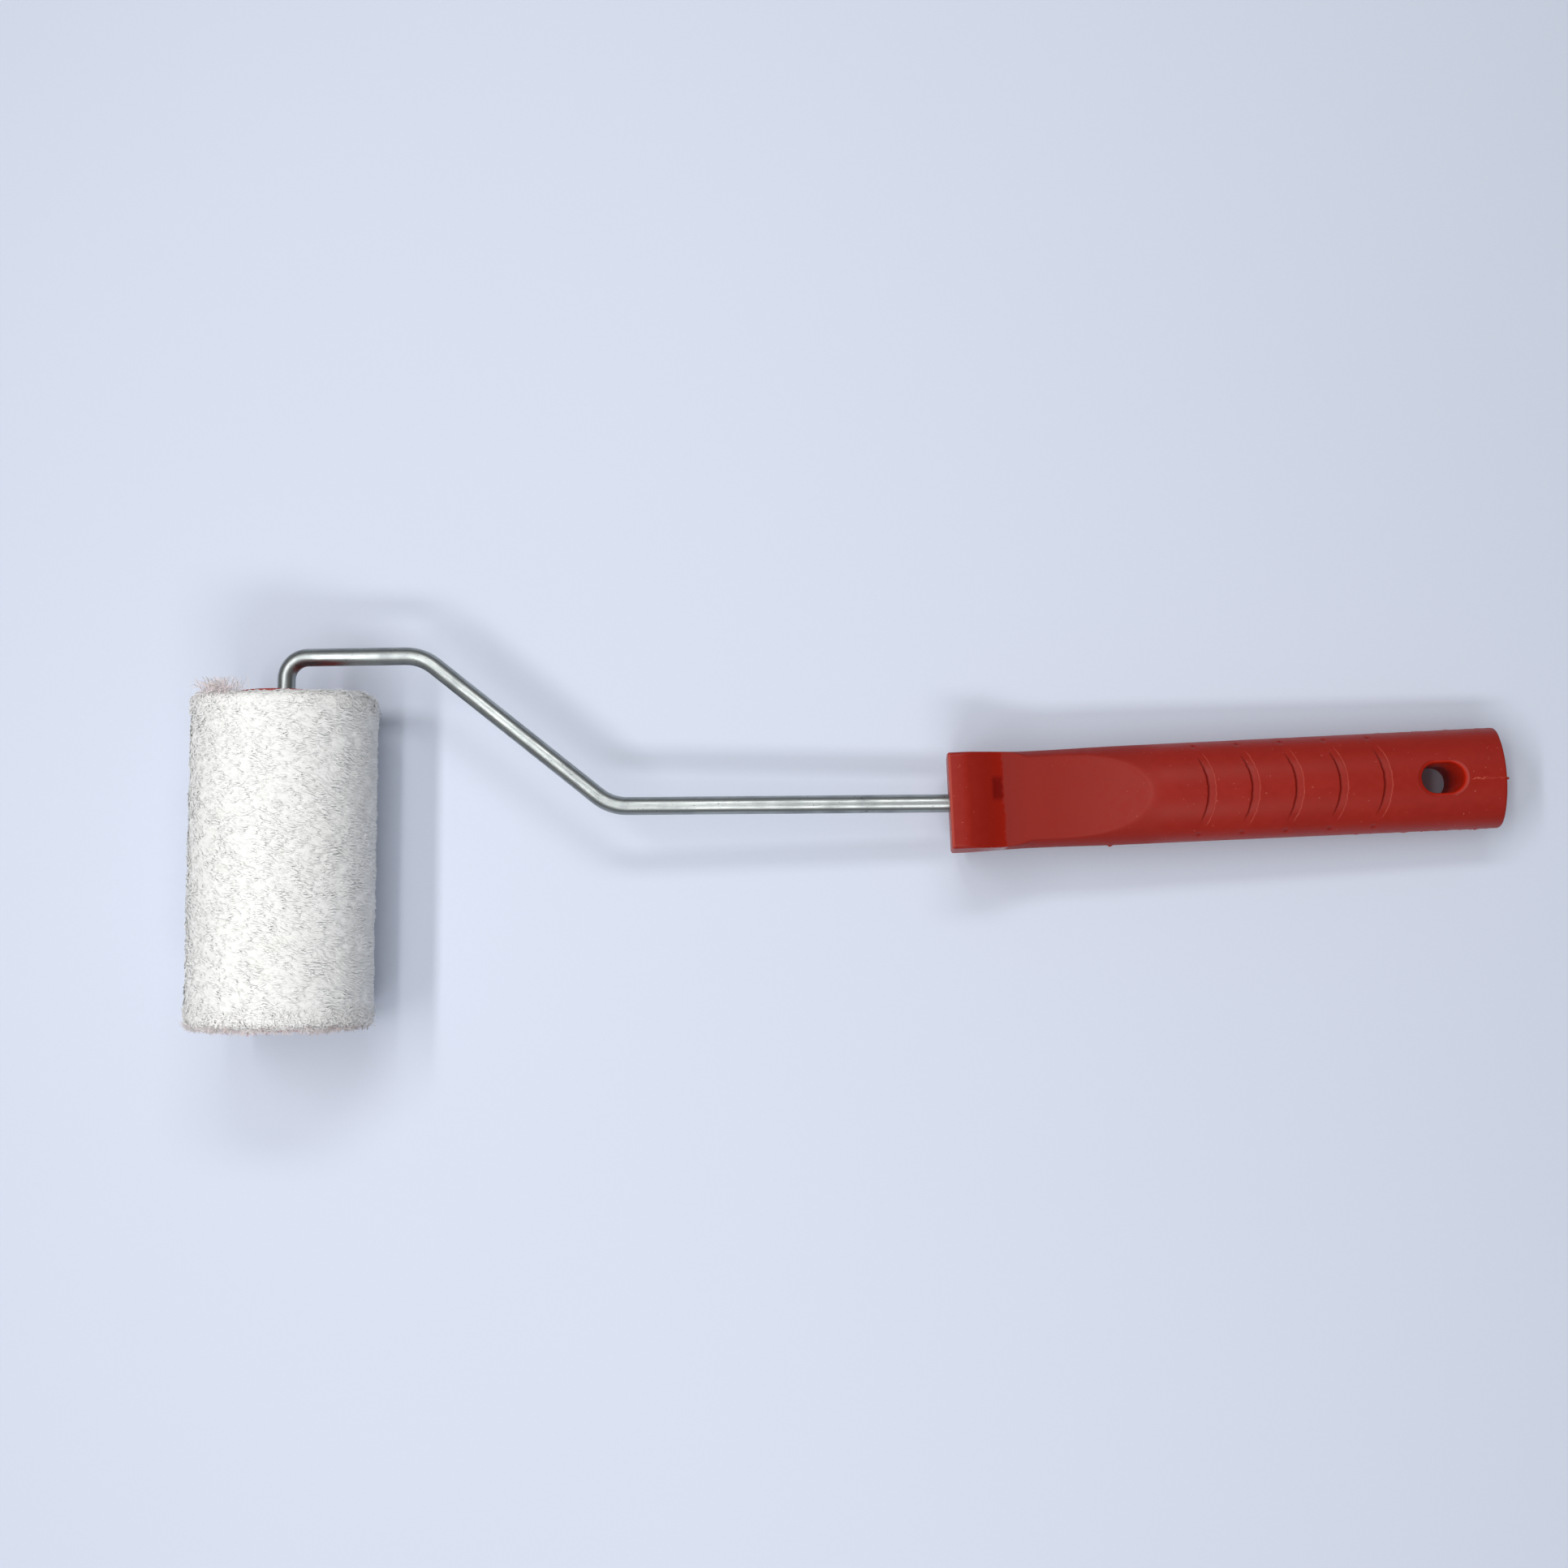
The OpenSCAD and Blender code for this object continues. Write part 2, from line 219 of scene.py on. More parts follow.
def metal(name, bright, dull, along, streaks=1.0, pits=1.0):
    """A zinc finish. along names the attribute that runs with the metal, or is None."""
    made, tree, shader = new_material(name, Metallic=1.0)
    if along:
        place = add_node(tree, "Attribute", attribute_name=along).outputs["Vector"]
    else:
        place = add_node(tree, "TexCoord").outputs["Object"]
    finish = use_group(tree, zinc_group, Along=place, Bright=(*bright, 1), Dull=(*dull, 1), Streaks=streaks,
                       Pits=pits)
    tree.links.new(finish["Colour"], shader.inputs["Base Color"])
    tree.links.new(finish["Roughness"], shader.inputs["Roughness"])
    set_bump(tree, shader, finish["Height"], 0.00004, 0.6)
    return made


def new_piece(name, bm, place, body, slot, made, *nodes, sharp=35):
    """Puts a finished bmesh in its place in the mesh, and hangs the object on its CAD body."""
    bmesh.ops.transform(bm, matrix=place, verts=bm.verts)
    mesh = bpy.data.meshes.new(name)
    bm.to_mesh(mesh)
    bm.free()
    mesh.polygons.foreach_set("use_smooth", [True] * len(mesh.polygons))
    mesh.set_sharp_from_angle(angle=math.radians(sharp))
    mesh.materials.append(made)
    piece = put(name, mesh)
    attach(piece, body)
    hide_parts(*nodes)
    return piece


def go_on(bm, edges, move, length, layer):
    """Draws a ring of edges out into a new ring, moves that, and returns its edges."""
    drawn = bmesh.ops.extrude_edge_only(bm, edges=edges)["geom"]
    verts = [g for g in drawn if isinstance(g, bmesh.types.BMVert)]
    bmesh.ops.transform(bm, matrix=move, verts=verts)
    for v in verts:
        v[layer] = v[layer] + Vector((length, 0, 0))
    return [g for g in drawn if isinstance(g, bmesh.types.BMEdge) and g.is_boundary]


def about(centre, angle):
    """A turn about Z through a point, in radians."""
    point = Vector(centre)
    return Matrix.Translation(point) @ Matrix.Rotation(angle, 4, "Z") @ Matrix.Translation(-point)


def run_straight(bm, edges, step, layer, count=1):
    """Draws a ring on by a step. Lengths along the metal are kept in metres."""
    part = Vector(step) / count
    for _ in range(count):
        edges = go_on(bm, edges, Matrix.Translation(part), part.length / 1000, layer)
    return edges


def run_bend(bm, edges, centre, radius, angle, layer, count):
    for _ in range(count):
        edges = go_on(bm, edges, about(centre, angle / count), radius * abs(angle) / count / 1000, layer)
    return edges


def resize_ring(bm, edges, centre, share):
    verts = {v for e in edges for v in e.verts}
    bmesh.ops.scale(bm, vec=(share,) * 3, verts=list(verts), space=Matrix.Translation(-Vector(centre)))


bm = bmesh.new()
along = bm.verts.layers.float_vector.new("along")
at_tip = Matrix.Translation((0, wire_end, 0)) @ Matrix.Rotation(math.pi / 2, 4, "X")
tip = bmesh.ops.create_circle(bm, cap_ends=True, segments=40, radius=wire_r - tip_chamfer, matrix=at_tip)
for v in tip["verts"]:
    across = math.atan2(v.co.z, v.co.x)
    v[along] = Vector((0, math.cos(across), math.sin(across))) * wire_r / 1000
ring = list(bm.edges)
ring = run_straight(bm, ring, (0, tip_chamfer, 0), along)
resize_ring(bm, ring, (0, wire_end + tip_chamfer, 0), wire_r / (wire_r - tip_chamfer))
ring = run_straight(bm, ring, (0, outer_run - elbow_r - wire_end - tip_chamfer, 0), along, 12)
ring = run_bend(bm, ring, (elbow_r, outer_run - elbow_r, 0), elbow_r, -math.pi / 2, along, 14)
ring = run_straight(bm, ring, (slant_start - bend_reach - elbow_r, 0, 0), along, 4)
ring = run_bend(bm, ring, (slant_start - bend_reach, outer_run - bend_r, 0), bend_r, -slant, along, 10)
slant_run = (outer_run - shank_y) / math.sin(slant) - 2 * bend_reach
ring = run_straight(bm, ring, (slant_run * math.cos(slant), -slant_run * math.sin(slant), 0), along, 6)
ring = run_bend(bm, ring, (slant_end + bend_reach, shank_y + bend_r, 0), bend_r, slant, along, 10)
lean_reach = bend_r * math.tan(lean / 2)
lean_start = handle_x - neck - lean_reach
ring = run_straight(bm, ring, (lean_start - slant_end - bend_reach, 0, 0), along, 12)
ring = run_bend(bm, ring, (lean_start, shank_y + bend_r, 0), bend_r, lean, along, 2)
tang_step = tang + neck - lean_reach - tip_chamfer
ring = run_straight(bm, ring, (tang_step * math.cos(lean), tang_step * math.sin(lean), 0), along, 4)
tang_end = sum((v.co for e in ring for v in e.verts), Vector()) / (2 * len(ring))
tip_step = Vector((math.cos(lean), math.sin(lean), 0)) * tip_chamfer
ring = run_straight(bm, ring, tip_step, along)
resize_ring(bm, ring, tang_end + tip_step, (wire_r - tip_chamfer) / wire_r)
bmesh.ops.edgeloop_fill(bm, edges=ring)
bmesh.ops.recalc_face_normals(bm, faces=bm.faces)
zinc = metal("zinc_plated_wire", (0.385, 0.410, 0.405), (0.205, 0.222, 0.228), "along")
new_piece("bent_wire", bm, tool_frame, "frame", "zinc_wire", zinc, "wire_frame")


# ------------------------------
# Thrust washers. Plain zinc plated discs, loose on the axle between each cap and its ring.
# A rounded strip is spun round the axle, once for each end of the sleeve.
# ------------------------------
half_sleeve = 50.0
cap_face = 51.6
cup_floor = cap_face - 6.0
hub_bore = 2.83
washer_r, washer_thick, washer_round = 6.6, 0.8, 0.12
washer_seat = cup_floor + 0.3
ring_seat = washer_seat + washer_thick


def spin_round(bm, verts, pairs, steps=96):
    """Joins pairs of points, and spins the lot once round the Y axis."""
    edges = [bm.edges.new(pair) for pair in pairs]
    bmesh.ops.spin(bm, geom=verts + edges, cent=(0, 0, 0), axis=(0, 1, 0), angle=2 * math.pi,
                   steps=steps, use_merge=True)


def spun(points):
    """A closed half section, given as radius and place along the axle, spun round the axle."""
    bm = bmesh.new()
    verts = [bm.verts.new((r, y, 0)) for r, y in points]
    spin_round(bm, verts, [*zip(verts, verts[1:]), (verts[-1], verts[0])])
    bmesh.ops.remove_doubles(bm, verts=bm.verts, dist=0.001)
    bmesh.ops.recalc_face_normals(bm, faces=bm.faces)
    return bm


def at_end(bm, end):
    """Mirrors a piece drawn at the far end, where the wire leaves, to the near end."""
    if end < 0:
        bmesh.ops.scale(bm, vec=(1, -1, 1), verts=bm.verts)
        bmesh.ops.reverse_faces(bm, faces=bm.faces)
    return bm


washer_zinc = metal("washer_zinc", (0.74, 0.74, 0.74), (0.46, 0.46, 0.47), None, 0.4, 0.6)
for name, end in (("far", 1), ("near", -1)):
    low, high, edge = washer_seat, washer_seat + washer_thick, washer_round
    bm = spun([(hub_bore, low + edge), (hub_bore + edge, low), (washer_r - edge, low),
               (washer_r, low + edge), (washer_r, high - edge), (washer_r - edge, high),
               (hub_bore + edge, high), (hub_bore, high - edge)])
    new_piece(f"{name}_washer", at_end(bm, end), tool_frame, "frame", "washer_steel", washer_zinc,
              f"{name}_thrust_washer")


# ------------------------------
# Push-on rings. Spring steel discs with a turned-up rim and six teeth that bite the wire.
# Slits part the teeth, and each tooth leans outwards where it has been pushed on.
# ------------------------------
tooth_root, slit_turn, sheet = 4.4, 15, 0.55
spring_steel = metal("blued_spring_steel", (0.46, 0.46, 0.48), (0.22, 0.22, 0.24), None, 0.5, 0.8)
for name, end in (("far", 1), ("near", -1)):
    bm = bmesh.new()
    inner = [bm.verts.new((r, ring_seat + lift, 0)) for r, lift in
             ((2.775, 0.32), (3.5, 0.14), (tooth_root, 0), (5.0, 0), (5.2, 0.1), (5.25, 0.95), (5.75, 0.95))]
    spin_round(bm, inner, zip(inner, inner[1:]))
    slits = []
    for f in bm.faces:
        middle = f.calc_center_median()
        turn = math.degrees(math.atan2(middle.z, middle.x)) + slit_turn / 2
        if math.hypot(middle.x, middle.z) < tooth_root and turn % (360 / 6) < slit_turn:
            slits.append(f)
    bmesh.ops.delete(bm, geom=slits, context="FACES")
    bmesh.ops.recalc_face_normals(bm, faces=bm.faces)
    if sum(f.normal.y * f.calc_area() for f in bm.faces) < 0:
        bmesh.ops.reverse_faces(bm, faces=bm.faces)
    bmesh.ops.solidify(bm, geom=bm.faces, thickness=-sheet)
    bmesh.ops.recalc_face_normals(bm, faces=bm.faces)
    new_piece(f"{name}_ring", at_end(bm, end), tool_frame, "frame", "spring_steel", spring_steel,
              f"{name}_push_ring", sharp=40)


# ------------------------------
# Core tube. The stiff extruded tube that the pile is bonded to. Its CAD shape is right and
# stays: it only gets the pale moulded plastic, with a faint mottle and fine orange peel.
# ------------------------------
def moulded_skin():
    """Moulded plastic skin: faint flow mottle, fine orange peel, and pale rubbed places."""
    group, given, out = new_group(
        "Moulded skin",
        {"Place": ("vector", (0, 0, 0)), "Base": ("colour", (0.5, 0.5, 0.5, 1)),
         "Deep": ("colour", (0.3, 0.3, 0.3, 1)), "Rubbed": ("colour", (0.7, 0.7, 0.7, 1)),
         "Specks": ("float", 1.0), "Satin": ("float", 0.4)},
        {"Colour": "colour", "Roughness": "float", "Height": "float"})
    flow = noise_of(group, given["Place"], 55, 3, 0.55)
    mottle = noise_of(group, given["Place"], 420, 3, 0.6)
    peel = noise_of(group, given["Place"], 1500, 2)
    dots = noise_of(group, given["Place"], 1900, 0)
    tone = calc(group, "ADD", times(group, remap(group, flow, 0.35, 0.65), 0.55),
                times(group, remap(group, mottle, 0.35, 0.65), 0.45))
    colour = mix_colour(group, tone, given["Deep"], given["Base"])
    rub = calc(group, "MULTIPLY", remap(group, dots, 0.83, 0.88), given["Specks"], True)
    colour = mix_colour(group, rub, colour, given["Rubbed"])
    rough = calc(group, "ADD", given["Satin"], remap(group, mottle, 0.3, 0.7, -0.05, 0.05))
    height = calc(group, "ADD", times(group, peel, 0.35), times(group, mottle, 0.65))
    link_out(group, out, Colour=colour, Roughness=rough, Height=height)
    return group


skin_group = moulded_skin()


def moulded(name, base, deep, rubbed, satin, specks=1.0):
    made, tree, shader = new_material(name, IOR=1.49)
    place = add_node(tree, "TexCoord").outputs["Object"]
    skin = use_group(tree, skin_group, Place=place, Base=(*base, 1), Deep=(*deep, 1), Rubbed=(*rubbed, 1),
                     Specks=specks, Satin=satin)
    tree.links.new(skin["Colour"], shader.inputs["Base Color"])
    tree.links.new(skin["Roughness"], shader.inputs["Roughness"])
    set_bump(tree, shader, skin["Height"], 0.00003, 0.5)
    return made, tree, shader, skin


core_plastic = moulded("pale_core_plastic", (0.72, 0.70, 0.64), (0.60, 0.57, 0.50), (0.85, 0.84, 0.8), 0.5)[0]
core = frame["nodes"]["core_tube"]
core.data.materials.clear()
core.data.materials.append(core_plastic)


# ------------------------------
# End caps. Red moulded plastic plugs, pressed into the core tube. The flange covers the end
# of the tube, the cup hides the ring and the washer, and the hub runs on the wire.
# ------------------------------
cap_red = moulded("cap_red_plastic", (0.42, 0.022, 0.011), (0.33, 0.015, 0.008), (0.62, 0.20, 0.16), 0.36)[0]
flange_under, flange_dip = 50.02, 51.5
cup_under, hub_end, spigot_end = cup_floor - 1.5, cup_floor - 9, 41
# Half section of a cap: the flange's rim, its shallow dip, the cup, the hub, and the spigot.
cap_outline = [
    (15, flange_under), (15, 51.25), (14.92, 51.45), (14.75, 51.57), (14.4, cap_face),
    (13.2, cap_face), (12.9, flange_dip), (10.4, flange_dip), (10.1, cap_face),
    (9.45, cap_face), (9.2, 51.55), (9.04, 51.4), (9, 51.15),
    (9, cup_floor + 0.35), (8.9, cup_floor + 0.1), (8.65, cup_floor), (4.6, cup_floor),
    (4.3, cup_floor + 0.12), (3.1, cup_floor + 0.12), (hub_bore, cup_floor - 0.1),
    (hub_bore, hub_end + 0.2), (3.05, hub_end), (5.0, hub_end), (5.2, hub_end + 0.2), (5.2, cup_under),
    (10.5, cup_under), (10.5, flange_under), (11.98, flange_under),
    (11.98, spigot_end), (13.3, spigot_end), (13.48, spigot_end + 0.3), (13.48, flange_under)]
rib_count, rib_size, rib_place = 8, (2.0, 6.2, 1.2), (11.2, 47.2, 0)
for name, end in (("far", 1), ("near", -1)):
    bm = spun(cap_outline)
    for i in range(rib_count):
        rib = bmesh.ops.create_cube(bm, size=1)["verts"]
        turned = Matrix.Rotation(2 * math.pi * i / rib_count, 4, "Y")
        bmesh.ops.scale(bm, vec=rib_size, verts=rib)
        bmesh.ops.translate(bm, vec=rib_place, verts=rib)
        bmesh.ops.rotate(bm, cent=(0, 0, 0), matrix=turned, verts=rib)
    new_piece(f"{name}_cap", at_end(bm, end), tool_frame, "roller", "cap_plastic", cap_red,
              f"{name}_end_cap", sharp=30)


# ------------------------------
# Handle. One red polypropylene moulding on the tang, shiny on the drop behind the lip and
# satin elsewhere. A thumb rest and five finger grooves are moulded in both faces, and a
# bevelled hang slot goes through the butt. The parting line runs down both sides.
# ------------------------------
handle_frame = (tool_frame @ Matrix.Translation((handle_x - neck, shank_y, 0))
                @ Matrix.Rotation(lean, 4, "Z") @ Matrix.Translation((neck, 0, 0)))
handle_l, half_w, half_t = 160.0, 15.0, 11.0
side_r = 8.8
side_c = half_w - side_r
crown_r = (side_c ** 2 + half_t ** 2 - side_r ** 2) / (2 * (half_t - side_r))
crown_reach = crown_r * side_c / (crown_r - side_r)
lip, ramp, flat, rise, pad_drop = 4.5, 11.5, 15.0, 28.0, 5.0
pad_z = half_t - pad_drop
rise_r = (rise ** 2 + pad_drop ** 2) / (2 * pad_drop)
groove_count, groove_first, groove_pitch, groove_w, groove_r = 5, 76.0, 12.6, 2.5, 22.0
steep_reach, far_reach, head_round = 9.8, 11.4, 1.2
slot_x = handle_l - 17.7
mouth, opening, pull_reach = (7.35, 5.4), (6.0, 4.35), 2.1


def blend_step(value, low, high):
    t = min(max((value - low) / (high - low), 0), 1)
    return t * t * (3 - 2 * t)


def soft_min(a, b, k):
    h = min(max(0.5 + 0.5 * (b - a) / k, 0), 1)
    return b + (a - b) * h - k * h * (1 - h)


def crown(y):
    if abs(y) < crown_reach:
        return math.sqrt(crown_r ** 2 - y * y) - crown_r + half_t
    return math.sqrt(max(side_r ** 2 - (abs(y) - side_c) ** 2, 0))


def side_share(s):
    """How much narrower the handle is at a place along it than at its front."""
    waist, grip = (half_w - 0.5) / half_w, (half_w - 0.25) / half_w
    return 1 + (waist - 1) * blend_step(s, 2, 24) + (grip - waist) * blend_step(s, 26, 52)


def thumb_floor(s):
    if s < lip + ramp:
        eased = pad_z + (pad_drop + 0.6) * (1 - blend_step(s, 1.5, lip + ramp + 0.6))
        return eased + 0.5 * max(2.5 - s, 0)
    if s < lip + ramp + flat:
        return pad_z
    up = min(s - lip - ramp - flat, rise_r * 0.9)
    return pad_z + rise_r - math.sqrt(rise_r ** 2 - up * up)


def ragged_start(i, y):
    """Where a groove's steep side begins. The side was cut a little unevenly in the mould."""
    return groove_first + i * groove_pitch - groove_w / 2 + 0.16 * noise.noise(Vector((y * 0.9, i * 7.3, 0)))


def steepness(y):
    """The share of a groove's steep side that is left at a distance from the middle of the handle."""
    return max(1 - abs(y / steep_reach) ** 3, 0)


def far_fade(y):
    """The share of a groove's far edge that is left at a distance from the middle of the handle."""
    return blend_step(far_reach - abs(y), 0, 2.5)


def groove_depth(a, y):
    """Depth of the finger grooves along the arcs: a steep drop, a level floor and a small step up."""
    for i in range(groove_count):
        x = a - ragged_start(i, y)
        if -0.01 < x < groove_w + 1:
            near, slope = 0.46 * steepness(y), 0.12 + 0.45 * steepness(y)
            far = 0.22 * far_fade(y)
            if x < slope:
                return near * max(x, 0) / slope
            if x < groove_w - 0.12:
                t = (x - slope) / (groove_w - 0.12 - slope)
                return near + (far - near) * t ** 0.8
            return far * max(1 - (x - groove_w + 0.12) / 0.14, 0)
    return 0


def groove_marks(a, y):
    """How much painted shade lies at the foot of a groove's steep side and in a thin line before its far edge, and
    how much painted highlight lies on that far edge.
    """
    for i in range(groove_count):
        x = a - ragged_start(i, y)
        if -0.1 < x < groove_w + 0.3:
            slope = 0.12 + 0.45 * steepness(y)
            foot = blend_step(x, 0, 0.12) * (1 - blend_step(x, slope + 0.15, slope + 0.45))
            foot *= blend_step(10.2 - abs(y), 0, 2.2)
            thin = 0.55 * blend_step(x, 2.2, 2.3) * (1 - blend_step(x, 2.38, 2.45))
            far = blend_step(x, 2.38, 2.46) * (1 - blend_step(x, 2.52, 2.66))
            return max(foot, thin * far_fade(y)), 0.55 * far * far_fade(y)
    return 0, 0


def head_share(s):
    """How much of the squared head there is in the section: all of it at the lip, and none past the ramp."""
    return 1 - blend_step(s, 13, 25)


def head_point(k, y0, z0):
    """Where a point of the oval lies on the squared head, which has the same number of points."""
    k = min(k % (2 * last_q), -k % (2 * last_q))
    flat = half_w - head_round
    if k < crown_points:
        return math.copysign((flat - 0.07 * half_t) * k / crown_points, y0), math.copysign(half_t, z0)
    t = (k - crown_points) / (last_q - crown_points)
    turn = min(t / 0.4, 1) * math.pi / 2
    y, z = flat + head_round * math.sin(turn), half_t - head_round + head_round * math.cos(turn)
    z *= 1 - max(t - 0.4, 0) / 0.6
    return math.copysign(y - 0.07 * z, y0), math.copysign(z, z0)


def arc_share(a):
    """How far the rings of the mesh follow the grooves' arcs."""
    return blend_step(a, 60, 73) * (1 - blend_step(a, 129, 134.5))


def stadium(share, size):
    """A point on a quarter of the slot's outline, from the end of its long axis (0) to its short axis (1)."""
    long_half, wide = size
    straight = long_half - wide
    arc = wide * math.pi / 2
    run = share * (arc + straight)
    if run < arc:
        return straight + wide * math.cos(run / wide), wide * math.sin(run / wide)
    return straight - (run - arc), wide


def quarter_share(u, v):
    """Where a point of the square block around the slot lies on the block's edge, as a share of a quarter."""
    a, b = mouth
    run = v if u >= a - 1e-6 else b + (a - u)
    return run / (a + b)


# Places of the mesh's rings along the handle, close together over the grooves.
groove_steps = (-0.55, -0.2, -0.05, 0, 0.12, 0.25, 0.38, 0.5, 0.6, 0.75, 1.05, 1.4, 1.8, 2.15, 2.3, 2.38,
                2.45, 2.52, 2.6, 2.8, 3.3)
slot_rows, slot_columns = 30, 12
rings = [0.5 + 0.42 * i for i in range(142)] + [60.8 + 0.9 * i for i in range(15)]
for i in range(groove_count):
    start = groove_first + i * groove_pitch - groove_w / 2
    rings += [start + d for d in groove_steps]
    if i < groove_count - 1:
        rings += [start + 3.3 + (groove_pitch - 3.3 - 0.55) * j / 10 for j in range(1, 10)]
last = groove_first + (groove_count - 1) * groove_pitch + groove_w / 2 + 0.8
rings += [last + (slot_x - mouth[0] - last) * j / 12 for j in range(1, 12)]
rings += [slot_x - mouth[0] + 2 * mouth[0] * j / slot_rows for j in range(slot_rows + 1)]
rings += [slot_x + mouth[0] + (handle_l - 0.5 - slot_x - mouth[0]) * j / 20 for j in range(1, 21)]

# Points of a ring round the oval, from the middle of the upper face to the side, and then mirrored.
side_angle = math.acos((crown_reach - side_c) / side_r)
quarter = [(mouth[1] * j / slot_columns, 0) for j in range(slot_columns)]
quarter += [(mouth[1] + (crown_reach - mouth[1]) * j / 15, 0) for j in range(15)]
quarter = [(y, crown(y)) for y, _ in quarter]
quarter += [(side_c + side_r * math.cos(a), side_r * math.sin(a))
            for a in [side_angle * (1 - j / 17) for j in range(17)] + [0.018, 0]]
last_q = len(quarter) - 1
crown_points = slot_columns + 15
oval = (quarter + [(y, -z) for y, z in quarter[-2::-1]] + [(-y, -z) for y, z in quarter[1:]]
        + [(-y, z) for y, z in quarter[-2:0:-1]])
around = len(oval)

def loop_edges(bm, loop):
    return [bm.edges.get((loop[k], loop[(k + 1) % len(loop)])) for k in range(len(loop))]


def draw_out(bm, loop):
    """Draws a closed loop of points out into a new one, and returns the new points in the same order."""
    drawn = bmesh.ops.extrude_edge_only(bm, edges=loop_edges(bm, loop))["geom"]
    fresh = {v for v in drawn if isinstance(v, bmesh.types.BMVert)}
    return [next(e.other_vert(v) for e in v.link_edges if e.other_vert(v) in fresh) for v in loop]


bm = bmesh.new()
plan = bm.verts.layers.float_vector.new("plan")
dark = bm.verts.layers.float.new("dark")
deep = bm.verts.layers.float.new("deep")
pale = bm.verts.layers.float.new("pale")
bmesh.ops.create_circle(bm, cap_ends=False, segments=around, radius=half_w)
loop = sorted(bm.verts, key=lambda v: math.atan2(v.co.x, v.co.y) % (2 * math.pi))
turned = [loop]
while len(turned) < len(rings):
    loop = draw_out(bm, loop)
    turned.append(loop)

for ring_place, loop in zip(rings, turned):
    for k, (y0, z0) in enumerate(oval):
        share = head_share(ring_place)
        if share > 0:
            hy, hz = head_point(k, y0, z0)
            y0, z0 = y0 + (hy - y0) * share, z0 + (hz - z0) * share
        s, y, base = ring_place, y0, abs(z0)
        s -= arc_share(s) * (groove_r - math.sqrt(groove_r ** 2 - min(y * y, 225)))
        # Round the slot, the square grid of points is drawn in to the slot's own outline.
        u, v = s - slot_x, y
        q = max(abs(u) / mouth[0], abs(v) / mouth[1])
        if 1e-6 < q < pull_reach and abs(z0) > 1:
            bu, bv = abs(u) / q, abs(v) / q
            tu, tv = stadium(quarter_share(bu, bv), mouth)
            pull = 1 - blend_step(q, 1, pull_reach)
            s += math.copysign(pull, u) * (tu - bu)
            y += math.copysign(pull, v) * (tv - bv)
            base = crown(y)
        y_out = y * side_share(s)
        height = soft_min(base, thumb_floor(s), 0.7)
        foot, far = groove_marks(ring_place, y) if base > 4 else (0, 0)
        if base > 4:
            height -= groove_depth(ring_place, y)
            # A small nick beyond both ends of each groove, with painted shade in it.
            for i in range(groove_count):
                nick = math.hypot((s - (groove_first - 3.7 + i * groove_pitch)) * 0.7, abs(y) - 13.1)
                height -= 0.45 * (1 - blend_step(nick, 0.15, 0.7))
                foot = max(foot, 0.9 * (1 - blend_step(nick, 0.1, 0.6)))
        # The parting line, with ragged flash towards the butt and one bump.
        if abs(z0) < 0.05:
            ragged = noise.noise(Vector((s * 1.7, y0 * 3, 4))) + noise.noise(Vector((s * 0.35, y0, 9)))
            flash = max(ragged, 0) * (0.4 if y0 < 0 else 0.15) * blend_step(s, 105, 140)
            y_out += math.copysign(0.06 + flash, y0)
            y_out -= 0.45 * (1 - blend_step(abs(s - 47), 0.2, 0.9)) if y0 < 0 else 0
            height = 0
        loop[k].co = (s, y_out, math.copysign(height, z0 if abs(z0) > 1e-9 else 1))
        loop[k][plan] = Vector((s, y, z0)) / 1000
        # Painted light: dark is painted shade in the grooves' feet and the nicks; pale is painted highlight on the
        # grooves' far edges, round the thumb pad's rim and round the front edge, and the parting line is paler.
        loop[k][dark] = foot
        rim = 1 - blend_step(abs(base - thumb_floor(s) - 0.1), 0.0, 0.3)
        rim *= blend_step(s, 21, 25) * (1 - blend_step(s, 60, 62)) if base > 4 else 0
        loop[k][pale] = max(far, 0.10 * rim, 0.45 if abs(z0) < 0.05 else 0, 0.4 if ring_place < 0.6 else 0)


def shrink_on(bm, loop, shape):
    """Draws a loop of points out into a new loop and puts each new point where shape says."""
    new = draw_out(bm, loop)
    for k, v in enumerate(new):
        v.co = shape(k)
    return new


def round_edge(bm, loop, face, inwards):
    """A small rounded edge round an end face. Gives its last loop, and the outline it started from."""
    outline = [v.co.copy() for v in loop]
    for inset, back in ((0.04, 0.2), (0.12, 0.06), (0.28, 0.0)):
        loop = shrink_on(bm, loop, lambda k: (
            face + inwards * back, outline[k].y * (1 - inset / 13), outline[k].z * (1 - inset / 9)))
    return loop, outline


# Both ends: a small rounded edge, a flat face, and at the front the mouth of the tang's bore.
bore_mouth = 3.3
front, outline = round_edge(bm, turned[0], 0, 1)
bore = [math.atan2(p.y, p.z) for p in outline]
for share in (0.4, 0.75):
    front = shrink_on(bm, front, lambda k: (
        0, outline[k].y * (1 - share) * 0.95 + share * bore_mouth * math.sin(bore[k]),
        outline[k].z * (1 - share) * 0.95 + share * bore_mouth * math.cos(bore[k])))
for radius, place in ((3.25, 0.0), (2.95, 0.12), (2.79, 0.45), (2.78, 6.0)):
    front = shrink_on(bm, front, lambda k: (place, radius * math.sin(bore[k]), radius * math.cos(bore[k])))
bmesh.ops.contextual_create(bm, geom=front)
butt, outline = round_edge(bm, turned[-1], handle_l, -1)
for share in (0.3, 0.6, 0.85):
    butt = shrink_on(bm, butt, lambda k: (
        handle_l - 0.12 * share, outline[k].y * (1 - share), outline[k].z * (1 - share)))
bmesh.ops.contextual_create(bm, geom=butt)

